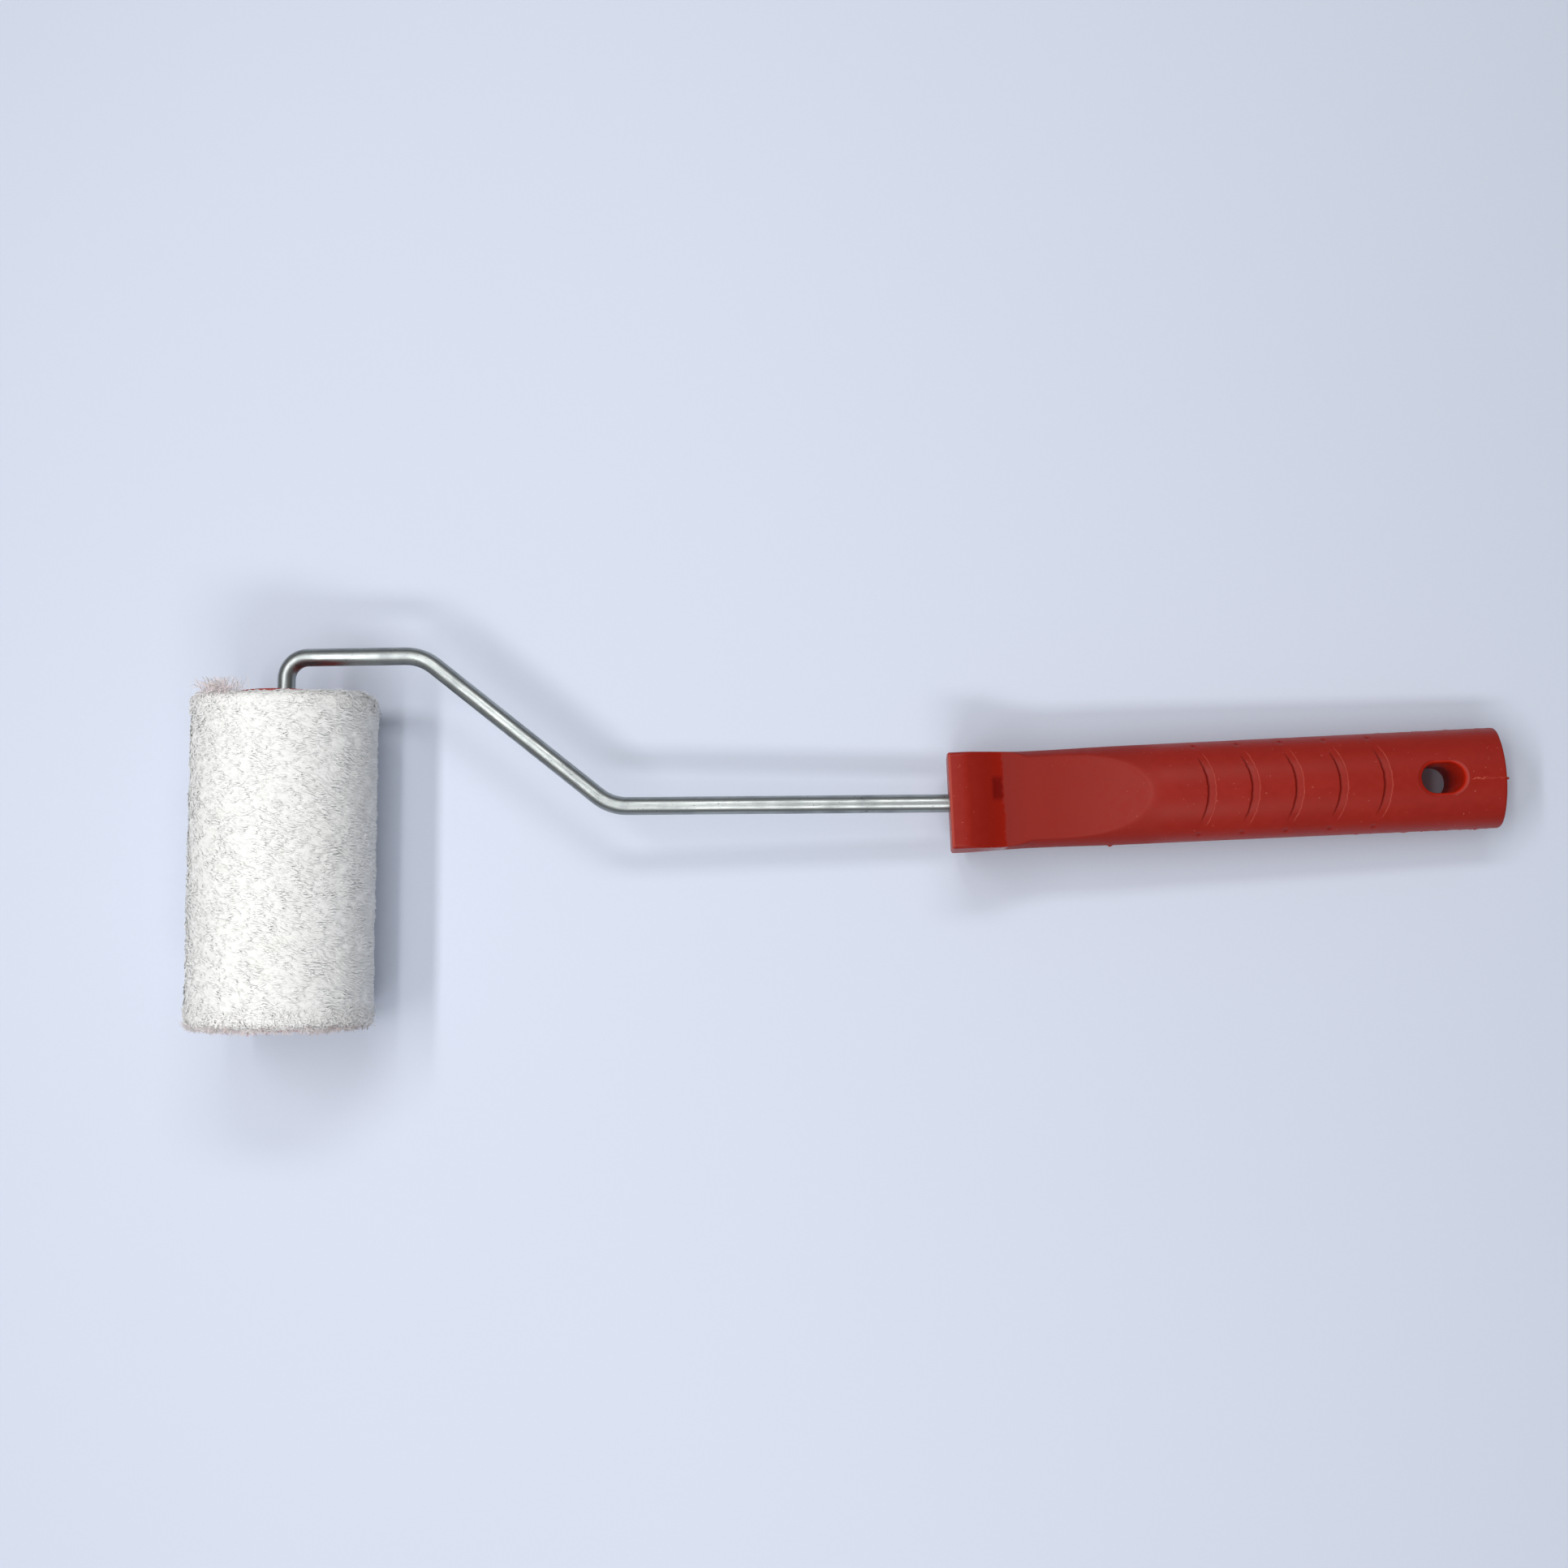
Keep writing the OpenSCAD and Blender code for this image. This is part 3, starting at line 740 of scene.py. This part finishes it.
# The hang slot: the block of faces goes, and its edge is drawn in round the bevel and down the walls.
row0 = rings.index(slot_x - mouth[0])
mouths = []
for face, middle in ((1, 0), (-1, 2 * last_q)):
    columns = [(middle + c) % around for c in range(-slot_columns, slot_columns + 1)]
    rows = list(range(row0, row0 + slot_rows + 1))
    block = [turned[r][c] for r in rows[1:-1] for c in columns[1:-1]]
    bmesh.ops.delete(bm, geom=block, context="VERTS")
    rim = ([turned[r][columns[0]] for r in rows] + [turned[rows[-1]][c] for c in columns[1:]]
           + [turned[r][columns[-1]] for r in rows[-2::-1]] + [turned[rows[0]][c] for c in columns[-2:0:-1]])
    mouths.append((face, rim))
bevel_steps = ((0.04, 0.10), (0.12, 0.15), (0.40, 0.30), (0.66, 0.52), (0.86, 0.82), (0.97, 1.2), (1.0, 1.7),
               (1.0, 5.0))
slot_rings = []
for face, rim in mouths:
    shares = []
    for v in rim:
        u, w = v.co.x - slot_x, v.co.y / side_share(v.co.x)
        straight, arc = mouth[0] - mouth[1], mouth[1] * math.pi / 2
        if abs(u) > straight:
            run = mouth[1] * math.atan2(abs(w), abs(u) - straight)
        else:
            run = arc + straight - abs(u)
        shares.append((run / (arc + straight), math.copysign(1, u), math.copysign(1, w)))
    for inward, down in bevel_steps:
        size = tuple(m + (o - m) * inward for m, o in zip(mouth, opening))

        def on_rim(k):
            share, su, sw = shares[k]
            x, y = stadium(share, size)
            top = crown(y) if inward < 0.9 else crown(4.0)
            return slot_x + su * x, sw * y, face * (top - down)
        rim = shrink_on(bm, rim, on_rim)
        # Painted light on the slot: the outermost bevel ring is painted dark as the shaded edge, and down the
        # bevel and walls the red is painted brighter and redder for the red light inside the slot.
        for v in rim:
            v[deep] = blend_step(down, 0.1, 0.5)
            v[pale], v[dark] = 0, 1 if inward < 0.1 else 0
    slot_rings.append(rim)
bmesh.ops.bridge_loops(bm, edges=loop_edges(bm, slot_rings[0]) + loop_edges(bm, slot_rings[1]))
bmesh.ops.recalc_face_normals(bm, faces=bm.faces)

handle_red, tree, shader, skin = moulded("handle_red_plastic", (0.305, 0.0135, 0.0062), (0.270, 0.0110, 0.0048),
                                         (0.56, 0.19, 0.15), 0.44, 0.6)
shader.inputs["Specular IOR Level"].default_value = 0.25

# Masks along the handle, in metres from its front face: the shiny drop, with painted shade and a painted dark
# reflection on it, the thumb pad behind it with painted shade, and the weld line beyond the slot.
ramp_foot = (0.0155, 0.0165)
on_plan = add_node(tree, "Attribute", attribute_name="plan").outputs["Vector"]
split = add_node(tree, "SeparateXYZ", {"Vector": on_plan}).outputs
jagged = noise_of(tree, on_plan, 520, 3)
cloudy = noise_of(tree, on_plan, 230, 3, 0.6)


def about_zero(tree, value, inner, outer):
    """1 where a value is within inner of zero, and 0 where it is past outer."""
    return remap(tree, calc(tree, "ABSOLUTE", value), inner, outer, 1, 0)


# The drop behind the lip is glossier, and its colour is painted darker as shade.
shifted = calc(tree, "ADD", split["X"], remap(tree, jagged, 0.3, 0.7, -0.0008, 0.0008))
drop = times(tree, remap(tree, shifted, *ramp_foot, 1, 0), remap(tree, split["X"], 0.0075, 0.0150, 0, 0.9))
# A painted dark reflection on the drop: a patch of darker red.
near_s = about_zero(tree, calc(tree, "SUBTRACT", split["X"], 0.0143), 0.0011, 0.0020)
near_y = about_zero(tree, calc(tree, "SUBTRACT", split["Y"], 0.0034), 0.0026, 0.0042)
painted_reflection = times(tree, times(tree, near_s, near_y), remap(tree, cloudy, 0.38, 0.44))
weld_y = calc(tree, "ADD", split["Y"], remap(tree, jagged, 0.3, 0.7, 0.0001, 0.0013))
weld = times(tree, about_zero(tree, weld_y, 0.00009, 0.00020), remap(tree, split["X"], 0.1500, 0.1504))
weld = times(tree, weld, remap(tree, cloudy, 0.42, 0.55, 0.25, 1.0))
# Pale marks: painted highlights on the grooves' far edges, round the thumb pad's rim and round the front edge, a
# paler parting line and gate stub, and the weld line beyond the slot.
highlights_and_weld = calc(tree, "MAXIMUM", mark_of(tree, "pale"), weld)
past_ramp = remap(tree, split["X"], *ramp_foot)
pad = times(tree, past_ramp, remap(tree, split["X"], 0.057, 0.063, 1, 0))
# Painted shade on the thumb pad, darkest by the drop and fading towards the rise.
pad_shade = times(tree, pad, remap(tree, split["X"], 0.016, 0.058, 0.85, 0.35))
# Painted shade along the foot of the drop.
drop_foot_shade = times(tree, past_ramp, remap(tree, split["X"], 0.0155, 0.0230, 0.55, 0))
colour = skin["Colour"]
# Mixed in: painted highlights with the weld line, painted shade on the pad, at the drop's foot, on the drop and at
# the grooves' feet and nicks (dark), a painted dark reflection, and painted red light down the slot (deep).
for mask, red in ((highlights_and_weld, (0.50, 0.085, 0.055)), (pad_shade, (0.240, 0.0095, 0.0040)),
                  (drop_foot_shade, (0.200, 0.0078, 0.0032)), (drop, (0.250, 0.0062, 0.0008)),
                  (painted_reflection, (0.160, 0.0022, 0.0004)), (mark_of(tree, "dark"), (0.200, 0.0068, 0.0028)),
                  (mark_of(tree, "deep"), (0.42, 0.014, 0.003))):
    colour = mix_colour(tree, mask, colour, red)
tree.links.new(colour, shader.inputs["Base Color"])
rough = calc(tree, "SUBTRACT", skin["Roughness"], times(tree, drop, 0.32))
rough = calc(tree, "ADD", rough, times(tree, pad, 0.14))
tree.links.new(rough, shader.inputs["Roughness"])
# The stub of the gate at the end of the butt, where the plastic went in and was snapped off.
stub = bmesh.ops.create_cone(bm, cap_ends=True, segments=9, radius1=0.75, radius2=0.28, depth=1.1, matrix=(
    Matrix.Translation((handle_l + 0.25, -1.0, 9.8)) @ Matrix.Rotation(math.pi / 2, 4, "Y")))["verts"]
apart = [Vector((9 * i, 0, 0)) for i in range(3)]
for v in stub:
    v.co += Vector([noise.noise(v.co * 1.3 + shift) for shift in apart]) * 0.12
    v[pale] = 0.3
new_piece("grip_handle", bm, handle_frame, "frame", "handle_plastic", handle_red, "handle", sharp=38)


# ------------------------------
# Pile. White plush of fine fibre, bonded round the core tube and sheared to about a
# centimetre. It lies flat round the sleeve in small soft locks, and frays over both caps.
# ------------------------------
pile_r, core_r, corner = 28.0, 15.0, 2.3
body_r = pile_r - 0.45
body_half = half_sleeve - 0.55
pushed, bulge = 0.4, 1.7
straight_run = body_half - corner
corner_run = corner * math.pi / 2
end_run = body_r - corner - core_r - 0.05
whole_run = straight_run + corner_run + end_run
many_noise = np.vectorize(lambda x, y, z: noise.noise((x, y, z)), otypes=[float])


def on_skin(turn, run, lift):
    """A point on the sheared surface: turn about the axle, run along the section, lift off the surface."""
    reach = np.abs(run)
    bend = np.clip((reach - straight_run) / corner, 0, math.pi / 2)
    down = np.maximum(reach - straight_run - corner_run, 0)
    radius = body_r - corner + corner * np.cos(bend) - down + lift * np.cos(bend)
    length = np.minimum(reach, straight_run) + (corner + lift) * np.sin(bend)
    swollen = bulge * np.sin(turn) ** 2 * np.clip(run / straight_run, 0, 1) ** 6
    swollen = swollen * np.clip((radius - core_r) / 9, 0, 1)
    place = np.copysign(length, run) - pushed + swollen
    return np.stack([radius * np.sin(turn), place, radius * np.cos(turn)], -1)


def soft_relief(turn, run):
    """Broad swells and small tufts of the surface. The tufts are drawn out round the sleeve."""
    x, z = body_r * np.sin(turn), body_r * np.cos(turn)
    swell = 0.30 * many_noise(x / 9, run / 8, z / 9) + 0.20 * many_noise(x / 3.4, run / 2.6, z / 3.4 + 7)
    tuft = 0.22 * many_noise(x / 1.9 + 3, run / 0.9, z / 1.9)
    return (swell + tuft) * np.clip((whole_run + 0.5 - np.abs(run)) / 3, 0.2, 1)


bm = bmesh.new()
run_layer = bm.verts.layers.float.new("run")
stations = np.concatenate([np.linspace(-whole_run, -straight_run, 18),
                           np.linspace(-straight_run, straight_run, 170)[1:-1],
                           np.linspace(straight_run, whole_run, 18)])
strip = []
for run in stations:
    x, y, z = on_skin(np.array(math.pi / 2), np.array(run), np.array(0.0))
    v = bm.verts.new((x, y, 0))
    v[run_layer] = run
    strip.append(v)
spin_round(bm, strip, zip(strip, strip[1:]), 290)
bmesh.ops.remove_doubles(bm, verts=bm.verts, dist=0.001)
bmesh.ops.recalc_face_normals(bm, faces=bm.faces)
felt_run = np.array([v[run_layer] for v in bm.verts])
felt_turn = np.array([math.atan2(v.co.x, v.co.z) for v in bm.verts])
felt_at = on_skin(felt_turn, felt_run, soft_relief(felt_turn, felt_run))
for v, at in zip(bm.verts, felt_at):
    v.co = at
felt_mesh = bpy.data.meshes.new("felt")
bm.to_mesh(felt_mesh)
bm.free()

# One lock of fibre: a slim three-sided cone with two rings part way along it.
bm = bmesh.new()
bmesh.ops.create_cone(bm, cap_ends=False, segments=3, radius1=0.55, radius2=0.0, depth=1.0,
                      matrix=Matrix.Translation((0, 0, 0.5)))
bmesh.ops.remove_doubles(bm, verts=bm.verts, dist=0.0001)
rise_edges = [e for e in bm.edges if abs(e.verts[0].co.z - e.verts[1].co.z) > 0.5]
bmesh.ops.subdivide_edges(bm, edges=rise_edges, cuts=2)
for v in bm.verts:
    if 0.1 < v.co.z < 0.9:
        fuller = 1.0 / math.hypot(v.co.x, v.co.y)
        v.co.x *= fuller
        v.co.y *= fuller
lock_mesh = bpy.data.meshes.new("lock")
bm.to_mesh(lock_mesh)
bm.free()
lock = np.array([v.co for v in lock_mesh.vertices])
lock_faces = [list(p.vertices) for p in lock_mesh.polygons]


sets, sink = [], 0.22


def lay_locks(turn, run, length, width, lie, rise, tip_rise, cap_glow, tone, lit=0.0):
    """Lays a lock at each place, along its lie round the sleeve, and adds the lot to the sets: points,
    soft shading normals, how much painted red light from the caps each lock has, and how bright. lit turns the
    normals outwards."""
    t = lock[:, 2][None, :]
    side, thick = lock[:, 0][None, :] * width[:, None], lock[:, 1][None, :] * width[:, None] * 0.55
    ahead, over = np.cos(lie)[:, None], np.sin(lie)[:, None]
    goes = length[:, None] * t
    at_turn = turn[:, None] + (goes * ahead - side * over) / body_r
    at_run = run[:, None] + goes * over + side * ahead
    crest = rise[:, None] * 4 * t * (1 - t) + tip_rise[:, None] * t * t - sink * (1 - t) ** 2
    lift = soft_relief(turn, run)[:, None] + crest + thick
    points, small = on_skin(at_turn, at_run, lift), 0.02
    out = on_skin(at_turn, at_run, lift + 1) - points
    flank = on_skin(at_turn + small * -over, at_run + small * body_r * ahead, lift) - points
    flank /= np.linalg.norm(flank, axis=-1, keepdims=True)
    forward = on_skin(at_turn + small * ahead, at_run + small * body_r * over, lift) - points
    forward /= np.linalg.norm(forward, axis=-1, keepdims=True)
    slope = (rise[:, None] * 4 * (1 - 2 * t) + 2 * tip_rise[:, None] * t + 2 * sink * (1 - t)) / length[:, None]
    outward = np.stack([np.sin(at_turn), 0 * at_turn, np.cos(at_turn)], -1)
    normals = out + flank * (0.55 * lock[:, 0][None, :, None]) - 0.3 * slope[:, :, None] * forward
    normals = normals + lit * outward
    sets.append((points.reshape(-1, 3), normals.reshape(-1, 3), cap_glow, tone))


chance = np.random.default_rng(7)
lock_count = 46000
turn = chance.uniform(-math.pi, math.pi, lock_count)
run = chance.uniform(-whole_run + 1, whole_run - 1, lock_count)
patch = many_noise(body_r * np.sin(turn) / 4.5, run / 3.2, body_r * np.cos(turn) / 4.5)
wave = many_noise(body_r * np.sin(turn) / 14, run / 14 + 5, body_r * np.cos(turn) / 14)
lie = -0.15 + 0.30 * wave + 0.26 * patch + chance.normal(0, 0.2, lock_count)
length = chance.uniform(1.7, 3.4, lock_count)
width = chance.uniform(0.14, 0.30, lock_count)
rise = chance.uniform(0.04, 0.34, lock_count) * (1 + 0.8 * patch)
tip_rise = chance.uniform(-0.3, 0.52, lock_count) + 0.32 * patch
lay_locks(turn, run, length, width, lie, rise, tip_rise, np.zeros(lock_count), np.clip(0.5 + 1.1 * patch, 0, 1))

# Loose fibre over the ends: wisps in small bunches that stand off the end faces and curl over the caps.
for end, bunches, reach in ((-1, 520, 1.0), (1, 240, 0.3)):
    bunch_turn = chance.uniform(-math.pi, math.pi, bunches)
    bunch_in = chance.uniform(-1.5, end_run - 1.5, bunches)
    bunch_lie = end * chance.uniform(0.4, 2.7, bunches)
    bunch_stand = reach * chance.uniform(0.6, 2.9, bunches) * np.clip(0.35 + bunch_in / 3, 0.25, 1)
    # Painted red light from the caps: the wisps are pink, and a few dark red where the cap's red shows through.
    bunch_cap_glow = np.where(chance.random(bunches) < 0.07, 1.6, 0.8)
    mine = np.repeat(np.arange(bunches), 12)
    count = len(mine)
    turn = bunch_turn[mine] + chance.normal(0, 0.022, count)
    run = end * (straight_run + corner_run + bunch_in[mine] + chance.normal(0, 0.5, count))
    length = chance.uniform(1.6, 3.8, count) * (0.6 + 0.4 * reach)
    width = chance.uniform(0.06, 0.15, count)
    lie = bunch_lie[mine] + chance.normal(0, 0.3, count)
    stands = bunch_stand[mine] * chance.uniform(0.6, 1.2, count)
    lay_locks(turn, run, length, width, lie, 0.3 * stands, stands, bunch_cap_glow[mine],
              chance.uniform(0.3, 1, count), 0.9)

# White fluff that stands a little proud round both corners, with a faint painted pink of the caps' red light.
count = 9500
turn = chance.uniform(-math.pi, math.pi, count)
run = np.where(chance.random(count) < 0.5, -1, 1)
run = run * (straight_run + chance.uniform(-2.0, corner_run + 1.0, count))
patch = many_noise(body_r * np.sin(turn) / 2.2, run / 3.0, body_r * np.cos(turn) / 2.2)
stands = np.clip(0.5 + 1.5 * patch, 0.05, 1.35) * chance.uniform(0.4, 1.2, count)
stands *= np.where(run > 0, 0.2 + 0.8 * np.clip(np.abs(turn) * 4 - 1.4, 0, 1), 1)
lay_locks(turn, run, chance.uniform(1.2, 2.6, count), chance.uniform(0.11, 0.25, count),
          chance.uniform(0, 2 * math.pi, count), 0.4 * stands, stands, np.full(count, 0.05),
          np.clip(0.6 + patch, 0, 1))

# A fine ragged fringe round the near corner, painted pink with the caps' red light, a few wisps dark red.
count = 6000
turn = chance.uniform(-math.pi, math.pi, count)
run = -(straight_run + corner_run + chance.uniform(-1.2, 1.2, count))
patch = many_noise(body_r * np.sin(turn) / 1.5 + 20, run / 3.0, body_r * np.cos(turn) / 1.5)
stands = np.clip(0.7 + 2.2 * patch, 0.1, 1.8) * chance.uniform(0.4, 1.6, count)
lay_locks(turn, run, chance.uniform(1.0, 2.4, count), chance.uniform(0.05, 0.11, count),
          chance.uniform(0, 2 * math.pi, count), 0.4 * stands, stands,
          np.where(chance.random(count) < 0.04, 1.6, 0.65), np.clip(0.6 + patch, 0, 1), 0.9)

# Two loose tufts on the left side, one at each end, painted pink with the caps' red light.
for end, at_turn, count, spread, far in ((1, -0.54, 420, 0.17, 5.4), (-1, -1.12, 220, 0.11, 2.2)):
    turn = at_turn + chance.normal(0, spread, count)
    run = end * (straight_run + corner_run + chance.normal(0.3, 0.7, count))
    length = chance.uniform(1.5, 4.5, count)
    width = chance.uniform(0.05, 0.12, count)
    lie = chance.uniform(0, 2 * math.pi, count)
    stands = 0.2 + far * chance.uniform(0, 1, count) ** 1.6
    lay_locks(turn, run, length, width, lie, 0.4 * stands, stands, np.full(count, 0.9),
              chance.uniform(0.3, 1, count), 1.1)

place = np.array(tool_frame)
felt_normals = np.array([v.vector for v in felt_mesh.vertex_normals])
points = np.concatenate([felt_at] + [s[0] for s in sets]) @ place[:3, :3].T + place[:3, 3]
points[:, 2] = np.maximum(points[:, 2], 0.00005)
normals = np.concatenate([felt_normals] + [s[1] for s in sets]) @ place[:3, :3].T
normals /= np.linalg.norm(normals, axis=1)[:, None]
step = len(lock)
faces = [list(p.vertices) for p in felt_mesh.polygons]
lock_total = sum(len(s[2]) for s in sets)
faces += [[i + len(felt_at) + step * n for i in f] for n in range(lock_total) for f in lock_faces]
pile_mesh = bpy.data.meshes.new("plush_pile")
pile_mesh.from_pydata(points.tolist(), [], faces)
# Painted red light from the caps, pink on the felt's end faces.
felt_cap_glow = np.clip((np.abs(felt_run) - straight_run - corner_run) / 3, 0, 1)
marks = {"cap_glow": [felt_cap_glow] + [np.repeat(s[2], step) for s in sets],
         "tone": [np.full(len(felt_at), 0.5)] + [np.repeat(s[3], step) for s in sets],
         "tip": [np.full(len(felt_at), 0.5)] + [np.tile(lock[:, 2], len(s[2])) for s in sets]}
for key, values in marks.items():
    mark = pile_mesh.attributes.new(key, "FLOAT", "POINT")
    mark.data.foreach_set("value", np.concatenate(values).astype(np.float32))
pile_mesh.polygons.foreach_set("use_smooth", [True] * len(pile_mesh.polygons))
pile_mesh.normals_split_custom_set_from_vertices(normals.tolist())

pile_white, tree, shader = new_material("white_plush", Roughness=0.95, Sheen_Weight=0.7, Sheen_Roughness=0.5,
                                        Specular_IOR_Level=0.2)
tone = mark_of(tree, "tone")
tipped = mark_of(tree, "tip")
cap_glow = mark_of(tree, "cap_glow")
place = add_node(tree, "TexCoord").outputs["Object"]
drift = noise_of(tree, place, 70, 3)
along_fibre = add_node(tree, "Mapping", {"Vector": place, "Scale": (1, 3, 1)}).outputs[0]
fibre = noise_of(tree, along_fibre, 1500, 2)
colour = mix_colour(tree, tone, (0.845, 0.845, 0.825), (0.895, 0.895, 0.88))
# Painted shade at the roots of the locks: greyer towards the root.
colour = mix_colour(tree, remap(tree, tipped, 0, 0.6, 0.25, 0), colour, (0.72, 0.72, 0.71))
colour = mix_colour(tree, remap(tree, drift, 0.4, 0.7, 0, 0.10), colour, (0.84, 0.81, 0.75))
# Painted red light from the caps: pink on fibre over the caps, and dark red on the few wisps where the cap's red
# shows through.
colour = mix_colour(tree, times(tree, cap_glow, 0.8), colour, (0.82, 0.67, 0.68))
colour = mix_colour(tree, remap(tree, cap_glow, 1.2, 1.5), colour, (0.36, 0.05, 0.04))
tree.links.new(colour, shader.inputs["Base Color"])
set_bump(tree, shader, fibre, 0.00015, 0.4)
pile_mesh.materials.append(pile_white)
pile = put("plush_pile", pile_mesh)
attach(pile, "roller")
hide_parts("pile_cover")


# ------------------------------
# Bench and light. A wide pale board, and long lamps: the main one high to the left, one
# straight above, one beyond and one in front of the roller, and a glow all round.
# ------------------------------
bm = bmesh.new()
bmesh.ops.create_grid(bm, x_segments=2, y_segments=2, size=3.0)
board_mesh = bpy.data.meshes.new("bench_board")
bm.to_mesh(board_mesh)
bm.free()
board_paint, tree, shader = new_material("bench_white", Roughness=0.6, Specular_IOR_Level=0.2)
place = add_node(tree, "TexCoord").outputs["Object"]
drift = noise_of(tree, place, 6, 3)
grain = noise_of(tree, place, 700, 2)
colour = mix_colour(tree, remap(tree, drift, 0.35, 0.65, 0, 0.5), (0.633, 0.683, 0.800), (0.623, 0.673, 0.789))
colour = mix_colour(tree, remap(tree, grain, 0.4, 0.6, 0, 0.1), colour, (0.594, 0.640, 0.750))
tree.links.new(colour, shader.inputs["Base Color"])
board_mesh.materials.append(board_paint)
board = put("bench_board", board_mesh)


def lamp(name, at, towards, size, watts):
    """A white oblong lamp at a place, turned towards another place."""
    light = bpy.data.lights.new(name, "AREA")
    light.shape = "RECTANGLE"
    light.size, light.size_y = size
    light.energy = watts
    lit = put(name, light)
    lit.location = at
    lit.rotation_euler = (Vector(towards) - Vector(at)).to_track_quat("-Z", "Y").to_euler()


lamp("left_lamp", (-0.445, 0.0, 0.85), (-0.15, 0, 0), (0.9, 0.07), 3.45)
lamp("high_lamp", (-0.14, 0.0, 0.9), (-0.14, 0, 0), (0.06, 0.9), 1.5)
lamp("far_lamp", (0.03, 0.5, 0.72), (0.03, 0, 0), (0.5, 0.12), 1.75)
lamp("front_lamp", (0.03, -0.5, 0.72), (0.03, 0, 0), (0.5, 0.12), 2.2)
world = bpy.data.worlds.new("soft_room")
world.use_nodes = True
sky = world.node_tree
glow = sky.nodes["Background"]
glow.inputs["Color"].default_value = (1.0, 1.0, 1.0, 1)
heading = add_node(sky, "SeparateXYZ", {"Vector": add_node(sky, "TexCoord").outputs["Generated"]}).outputs
height = remap(sky, heading["Z"], 0.0, 1.0, 0.12, 0.23)
strength = times(sky, height, remap(sky, heading["X"], -0.7, 0.7, 1.35, 1.05))
sky.links.new(strength, glow.inputs["Strength"])
bpy.context.scene.world = world
